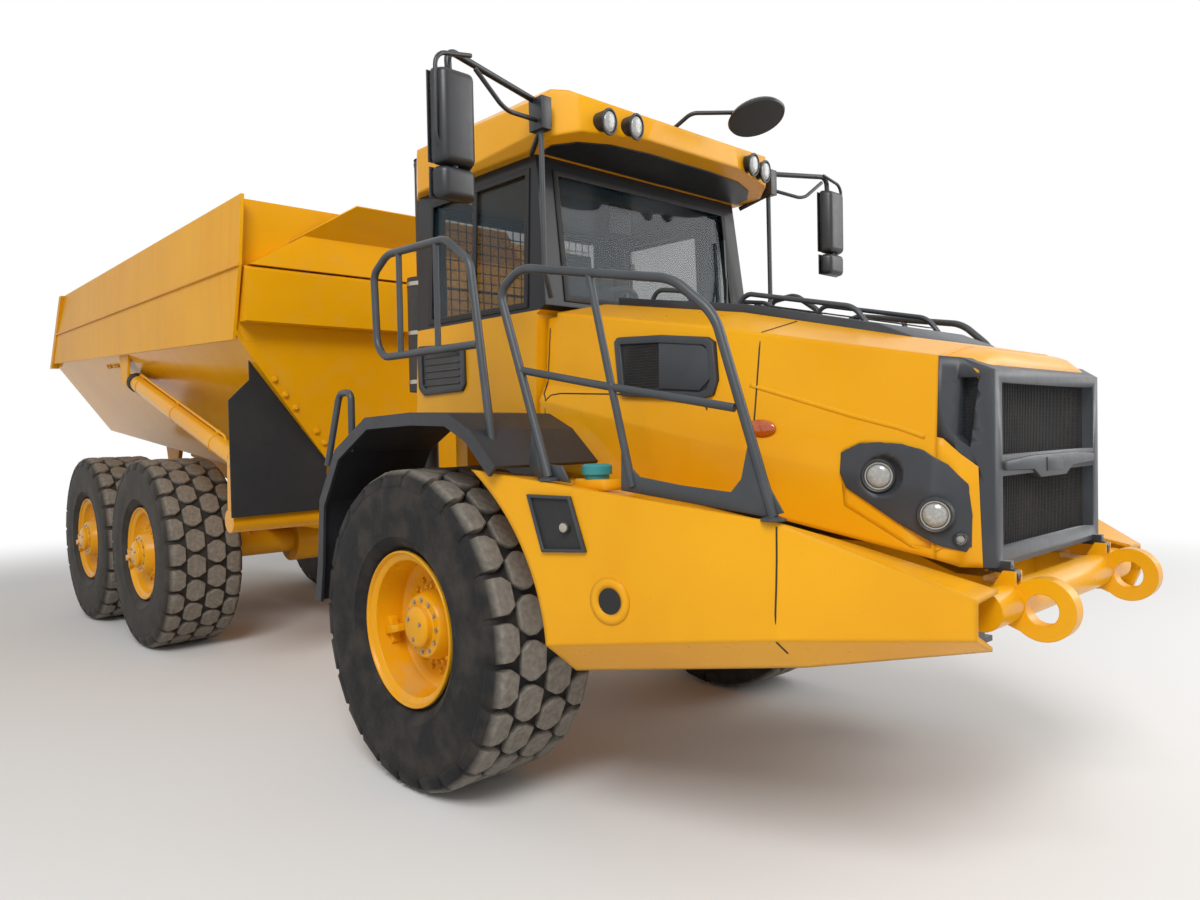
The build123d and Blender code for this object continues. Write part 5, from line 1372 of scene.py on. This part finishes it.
# %% Headlamps and their bezels
hood = [(-0.012, 0.95), (-0.012, 1.30), (0.012, 1.24), (0.020, 1.12), (0.018, 1.02), (-0.012, 0.95)]
domes, bezels, hoods = [], [], []
for x, z, size in lamp_places:
    lamp_at = spot(x, -skin_y(x, z) + (0.012 if x < 2.2 else -0.012), z)
    face = Vector((0.35, -1, 0.02))
    domes.append(lathe("dome", sized(lens_dome, size * 0.86), lamp_at, face, 36))
    bezels.append(lathe("bezel", sized(bezel, size * 0.9), lamp_at, face, 36))
    hoods.append(lathe("hood", [(along, radius * size) for along, radius in hood], lamp_at, face, 36))
finished(both_sides(joined(domes, "head_lenses")), clear_lens, "bonnet", angle=50)
finished(both_sides(joined(bezels, "head_bezels")), zinc, "bonnet", angle=50)
finished(both_sides(joined(hoods, "head_hoods")), moulded_grey, "bonnet", angle=50)
print("headlamps on each side", len(domes))

# %% [markdown]
# ## Right side panel
# Low on the side panel there is a round access hole with a raised ring, a black step pocket and the
# filler's cap on its bracket. The rails' feet stand on a dark base plate with two gussets.

# %% Access hole and step pocket
def on_panel(x, z, out=0.0):
    """A place on the right side panel, a little outside it."""
    return laid("side_panel_right", spot(x, -2.2, z), (0, 1, 0), out)


hole_place, hole_way = touch("side_panel_right", spot(1.33, -2.2, 1.078), (0, 1, 0))
hole_ring = [(-0.004, 0.052), (-0.004, 0.092), (0.004, 0.092), (0.008, 0.087), (0.010, 0.066),
             (0.002, 0.052), (-0.004, 0.052)]
finished(lathe("hole_ring", hole_ring, hole_place, hole_way, 40), yellow_moulding, "front_frame", angle=40)
# A black disc of painted shade closes the hole and stands for its depth in shade.
hole_shade_profile = [(0, 0), (0, 0.054), (0.002, 0.054), (0.002, 0)]
finished(lathe("hole_painted_shade", hole_shade_profile, hole_place, hole_way, 40), seal_rubber, "front_frame")
pocket = [(0.945, 1.485), (1.160, 1.482), (1.232, 1.262), (1.018, 1.250)]
finished(ring("pocket_rim", [on_panel(x, z, 0.001) for x, z in pocket], 0.014, (0, -0.016, 0)),
         moulded_grey, "front_frame", 0.004)
inside = [(0.955, 1.475), (1.152, 1.472), (1.220, 1.270), (1.024, 1.259)]
finished(sheet("pocket_floor", [on_panel(x, z, 0.001) for x, z in inside], (0, -0.003, 0)), flap_rubber,
         "front_frame")
knob = [(0, 0), (0, 0.020), (0.012, 0.024), (0.024, 0.018), (0.028, 0)]
knob = lathe("pocket_knob", knob, on_panel(1.133, 1.357, 0.004), (0.25, -1, 0), 24)
finished(knob, zinc, "front_frame", angle=50)
print("step pocket corners", len(pocket))

# %% Plates between the rails' feet
# Two plates stand between the rail's feet, cut to a curve at each foot. Columns: X, Y, Z.
kick_plate = [(1.350, -1.268, 1.715), (1.385, -1.262, 1.600), (1.430, -1.255, 1.560),
              (1.613, -1.226, 1.532), (1.820, -1.192, 1.512), (1.862, -1.185, 1.560),
              (1.890, -1.181, 1.680), (1.925, -1.176, 1.680), (1.965, -1.169, 1.540),
              (2.020, -1.160, 1.446), (1.953, -1.171, 1.430), (1.467, -1.250, 1.490),
              (1.346, -1.270, 1.505)]
foot_plate = [(0.905, -1.348, 1.800), (0.940, -1.345, 1.640), (0.985, -1.338, 1.605),
              (1.060, -1.325, 1.600), (1.100, -1.318, 1.530), (0.930, -1.345, 1.545),
              (0.880, -1.352, 1.600)]
plates = [sheet("kick_plate", route(kick_plate), (0, 0.010, 0)),
          sheet("foot_plate", route(foot_plate), (0, 0.010, 0))]
finished(both_sides(joined(plates, "rail_plates")), rail_coat, "front_frame", 0.002)
print("plates on each side", len(plates))

# %% Filler and panel seams
cap_foot = touch("side_panel_right", spot(1.16, -1.22, 3.0), (0, 0, -1))[0]
bracket_edge = [(-0.10, -0.05, 0), (0.10, -0.05, 0), (0.085, -0.05, 0.045), (-0.085, -0.05, 0.045)]
bracket = sheet("filler_bracket", [cap_foot + Vector(v) for v in bracket_edge], (0, 0.11, 0))
finished(bracket, yellow_moulding, "front_frame", 0.006)
cap_profile = [(0, 0), (0, 0.050), (0.016, 0.050), (0.018, 0.062), (0.052, 0.062), (0.060, 0.052), (0.062, 0)]
cap = lathe("filler_cap", cap_profile, cap_foot + Vector((0, 0, 0.045)), (0, 0, 1), 28)
finished(cap, cap_teal, "front_frame", angle=40)
panel_seam = [(2.006, 1.40), (2.006, 1.30), (2.004, 1.20), (2.000, 1.10), (1.998, 1.00), (1.996, 0.95)]
seam = tube("panel_seams", [on_panel(x, z, 0.0005) for x, z in panel_seam], 0.0035, 0, 1)
finished(both_sides(seam), seal_rubber, "front_frame", angle=60)
print("side panel done")

# %% [markdown]
# ## Tipping cylinders
# A black gland closes each barrel, a thin pipe runs along its upper side in two clamps, and bolts hold
# the eye's bracket to the bin.

# %% Cylinder details
for word, side in (("left", 1), ("right", -1)):
    barrel_low, barrel_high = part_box(f"hoist_barrel_{word}")
    y = (barrel_low.y + barrel_high.y) / 2
    foot = spot(-2.300, y, 1.575)
    eye = spot(-4.690, y, 2.270)
    along = (eye - foot).normalized()
    across = Vector((along.z, 0, -along.x))
    mouth = foot + along * ((eye - foot).length - 0.105)
    gland = [(-0.070, 0.074), (-0.066, 0.0815), (-0.004, 0.0815), (0.000, 0.076), (0.0, 0.060),
             (-0.070, 0.060), (-0.070, 0.074)]
    finished(lathe(f"gland_{word}", gland, mouth, along, 40), flap_rubber, f"hoist_barrel_{word}", angle=40)
    line = [mouth - along * 0.10 + across * 0.068, mouth - along * 0.12 + across * 0.095,
            mouth - along * 0.55 + across * 0.092, foot + along * 0.32 + across * 0.092,
            foot + along * 0.28 + across * 0.060]
    pieces = [tube("pipe", line, 0.010, 0.02)]
    for reach in (0.20, 1.10, 1.95):
        band = [(-0.014, 0.069), (-0.014, 0.0745), (0.014, 0.0745), (0.014, 0.069), (-0.014, 0.069)]
        pieces.append(lathe("clamp", band, mouth - along * reach, along, 36))
        pieces.append(lathe("saddle", [(-0.018, 0), (-0.018, 0.016), (0.018, 0.016), (0.018, 0)],
                            mouth - along * reach + across * 0.090, along, 16))
    finished(joined(pieces, f"barrel_pipe_{word}"), yellow_cast, f"hoist_barrel_{word}", angle=40)
    print("cylinder", word, "reaches", round((eye - foot).length, 3))

# %% [markdown]
# ## Folds and bolts of the bin
# A fold stiffens each side of the bin and shows as a thin bright line. It is a round bar sunk half into
# the plate. Bolts hold the mud flaps and the cylinders' brackets, and rays find their places.

# %% Fold along the bin's sides
fold = tube("bin_folds", route([(-6.900, -1.4435, 2.856), (-1.950, -1.4435, 2.855)]), 0.010, 0, 2)
finished(both_sides(fold), bin_paint, "bin", angle=60)
print("bin folds done")

# %% Bolts on the bin and its flaps
bin_bolts = []
edge_inset = 0.10
edge_places = [(-1.247, 2.132), (-1.170, 2.029), (-1.095, 1.939), (-0.935, 1.774), (-0.873, 1.690),
               (-0.804, 1.605)]
for y, z in edge_places:
    for side in (-1, 1):
        place = touch("bin", spot(-1.2, side * (abs(y) - edge_inset), z), (-1, 0, 0))[0]
        if place.x < axle_x - 1.5:
            bin_bolts.append((place, (1, 0, 0.05)))
for x in (-5.08, -5.16, -5.30, -5.38):
    for side in (-1, 1):
        place, normal = touch("bin", spot(x, side * 1.33, 1.0), (0, 0, 1))
        bin_bolts.append((place, normal if normal.z < 0 else -normal))
bolts("bin_bolts", yellow_cast, "bin", 0.017, bin_bolts)
print("bin bolts", len(bin_bolts))

# %% [markdown]
# ## Exhaust top
# A hinged flap closes the pipe against rain, and bands hold the heat shield.

# %% Exhaust flap and bands
pipe_low, pipe_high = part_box("exhaust_stack")
pipe_top = Vector(((pipe_low.x + pipe_high.x) / 2, (pipe_low.y + pipe_high.y) / 2, pipe_high.z))
flap_profile = [(0, 0), (0, 0.060), (0.005, 0.060), (0.005, 0)]
flap = lathe("rain_flap", flap_profile, pipe_top + Vector((0.003, 0, 0.006)), (-0.08, 0, 1), 28)
lever_edge = [(-0.052, 0.012, -0.035), (-0.085, 0.012, -0.030), (-0.095, 0.012, 0.014),
              (-0.052, 0.012, 0.008)]
lever = sheet("lever", [pipe_top + Vector(v) for v in lever_edge], (0, -0.024, 0))
finished(joined([flap, lever], "exhaust_flap"), soot_steel, "front_frame", 0.002)
bands = []
for drop in (0.760, 1.060, 1.360):
    band = [(-0.012, 0.114), (-0.012, 0.119), (0.012, 0.119), (0.012, 0.114), (-0.012, 0.114)]
    bands.append(lathe("band", band, pipe_top - Vector((0, 0, drop)), (0, 0, 1), 40))
finished(joined(bands, "exhaust_bands"), zinc, "front_frame", angle=40)
print("exhaust bands", len(bands))

# %% [markdown]
# ## Seat
# The seat's cushion and backrest are padded covers over the construction's seat. Each starts as a
# block a little smaller than the pad, is remeshed finely, and is blown up by the Cloth modifier with a
# small pressure and no gravity, so its sides pull in between the corners.

# %% Padded covers
floor_z = 1.806
pad_cap = 0.022
pad_voxel = 0.016
pad_pressure = 4.0
pad_frames = 18


def padded(name, outline, y_half):
    """A cushion: a block from a side outline, inflated as cloth, with its swelling capped."""
    piece = sheet(name, [spot(x, -y_half, z) for x, z in outline], (0, 2 * y_half, 0))
    edit(piece)
    bpy.ops.mesh.normals_make_consistent(inside=False)
    alone()
    modified(piece, "BEVEL", width=0.030, segments=3, limit_method="ANGLE")
    modified(piece, "REMESH", mode="VOXEL", voxel_size=pad_voxel)
    start = [v.co.copy() for v in piece.data.vertices]
    cloth = piece.modifiers.new("Cloth", "CLOTH")
    cloth.settings.use_pressure = True
    cloth.settings.uniform_pressure_force = pad_pressure
    cloth.settings.effector_weights.gravity = 0.0
    cloth.point_cache.frame_end = pad_frames
    for moment in range(1, pad_frames + 1):
        bpy.context.scene.frame_set(moment)
    only(piece)
    bpy.ops.object.modifier_apply(modifier=cloth.name)
    bpy.context.scene.frame_set(1)
    for vertex, old in zip(piece.data.vertices, start):
        swell = vertex.co - old
        if swell.length > pad_cap:
            vertex.co = old + swell.normalized() * pad_cap
    modified(piece, "SUBSURF", levels=1, render_levels=1)
    finished(piece, seat_cloth, "front_frame", angle=60)
    return piece


# %% Seat cushion and backrest
cushion = [(-0.425, floor_z + 0.275), (0.065, floor_z + 0.275), (0.065, floor_z + 0.400),
           (-0.425, floor_z + 0.400)]
padded("seat_cushion", cushion, 0.245)
backrest = [(-0.450, floor_z + 0.410), (-0.290, floor_z + 0.410), (-0.385, floor_z + 1.050),
            (-0.520, floor_z + 1.050)]
padded("seat_back", backrest, 0.222)
print("seat done")

# %% [markdown]
# ## Camera
# The photograph was taken with a wide lens from the machine's front right, at eye height. Three
# angles turn the camera: its heading, its tilt and a slight roll.

# %% Camera
lens_mm = 26.24
sensor_mm = 36.0
heading = math.radians(136.4664)
tilt = math.radians(-1.3003)
roll = math.radians(-1.0991)
camera_data = bpy.data.cameras.new("photo_camera")
camera_data.lens = lens_mm
camera_data.sensor_width = sensor_mm
camera = bpy.data.objects.new("photo_camera", camera_data)
bpy.context.scene.collection.objects.link(camera)
turn = (
    Matrix.Rotation(heading - math.pi / 2, 4, "Z")
    @ Matrix.Rotation(math.pi / 2 + tilt, 4, "X")
    @ Matrix.Rotation(roll, 4, "Z")
)
camera.matrix_world = Matrix.Translation(spot(3.7584, -3.6699, 1.7421)) @ turn
bpy.context.scene.camera = camera
print("camera at", [round(value, 3) for value in camera.matrix_world.translation])

# %% [markdown]
# ## Light, floor and background
# The light is a plain studio: a pale world from all sides, one large soft lamp where the
# photograph's sun stands and a weaker one across from it. The floor is matt and keeps the shadow.
# Far out it fades into the white of the background, so no horizon shows.

# %% Light and world
def soft_lamp(name, place, target, size, power):
    """A square area lamp that looks at a point."""
    alone()
    bpy.ops.object.light_add(type="AREA", location=place)
    lamp = bpy.context.object
    lamp.name = name
    lamp.data.size = size
    lamp.data.energy = power
    aim = Vector(target) - Vector(place)
    lamp.rotation_euler = aim.to_track_quat("-Z", "Y").to_euler()
    return lamp


soft_lamp("key_lamp", (9.5, -9.0, 11.5), (1.0, 0.0, 1.2), 6.0, 1500)
soft_lamp("fill_lamp", (9.0, 7.0, 6.0), (1.0, 0.0, 1.2), 7.0, 520)
studio = Finish("studio", "worlds")
around = studio.node("Background", 0, None, {"Color": (1, 1, 1, 1), "Strength": 0.46})
backdrop = studio.node("Background", 0, None, {"Color": (1, 1, 1, 1), "Strength": 1.0})
sky = studio.node("MixShader", 0, None, {0: studio.seen(), 1: around, 2: backdrop})
studio.node("OutputWorld", 0, None, {"Surface": sky})
bpy.context.scene.world = studio.owner
bpy.context.scene.view_settings.view_transform = "Standard"
print("lamps", len(bpy.data.lights))

# %% Floor
fade_start = 6.5
fade_end = 12.0


def floor_finish():
    """Matt pale ground that fades to white far from the machine."""
    finish = Finish("floor_pale")
    far = finish.node("VectorMath", "Value", {"operation": "LENGTH"}, {0: finish.place})
    share = finish.maths("MINIMUM", (far - fade_start) / (fade_end - fade_start), 1.0)
    share = finish.maths("MAXIMUM", share, 0.0)
    share = share * share * (3.0 - 2.0 * share)
    ground = finish.node("BsdfDiffuse", 0, None, {"Color": (0.80, 0.795, 0.785, 1)})
    white = finish.node("Emission", 0, None, {"Color": (1, 1, 1, 1), "Strength": 1.0})
    both = finish.node("MixShader", 0, None, {0: share * finish.seen(), 1: ground, 2: white})
    finish.node("OutputMaterial", 0, None, {"Surface": both})
    return finish.owner


floor = fresh("plane", "floor", size=120.0, location=(0, 0, -0.002))
floor.data.materials.append(floor_finish())
print("floor fades to white from", fade_start, "to", fade_end)
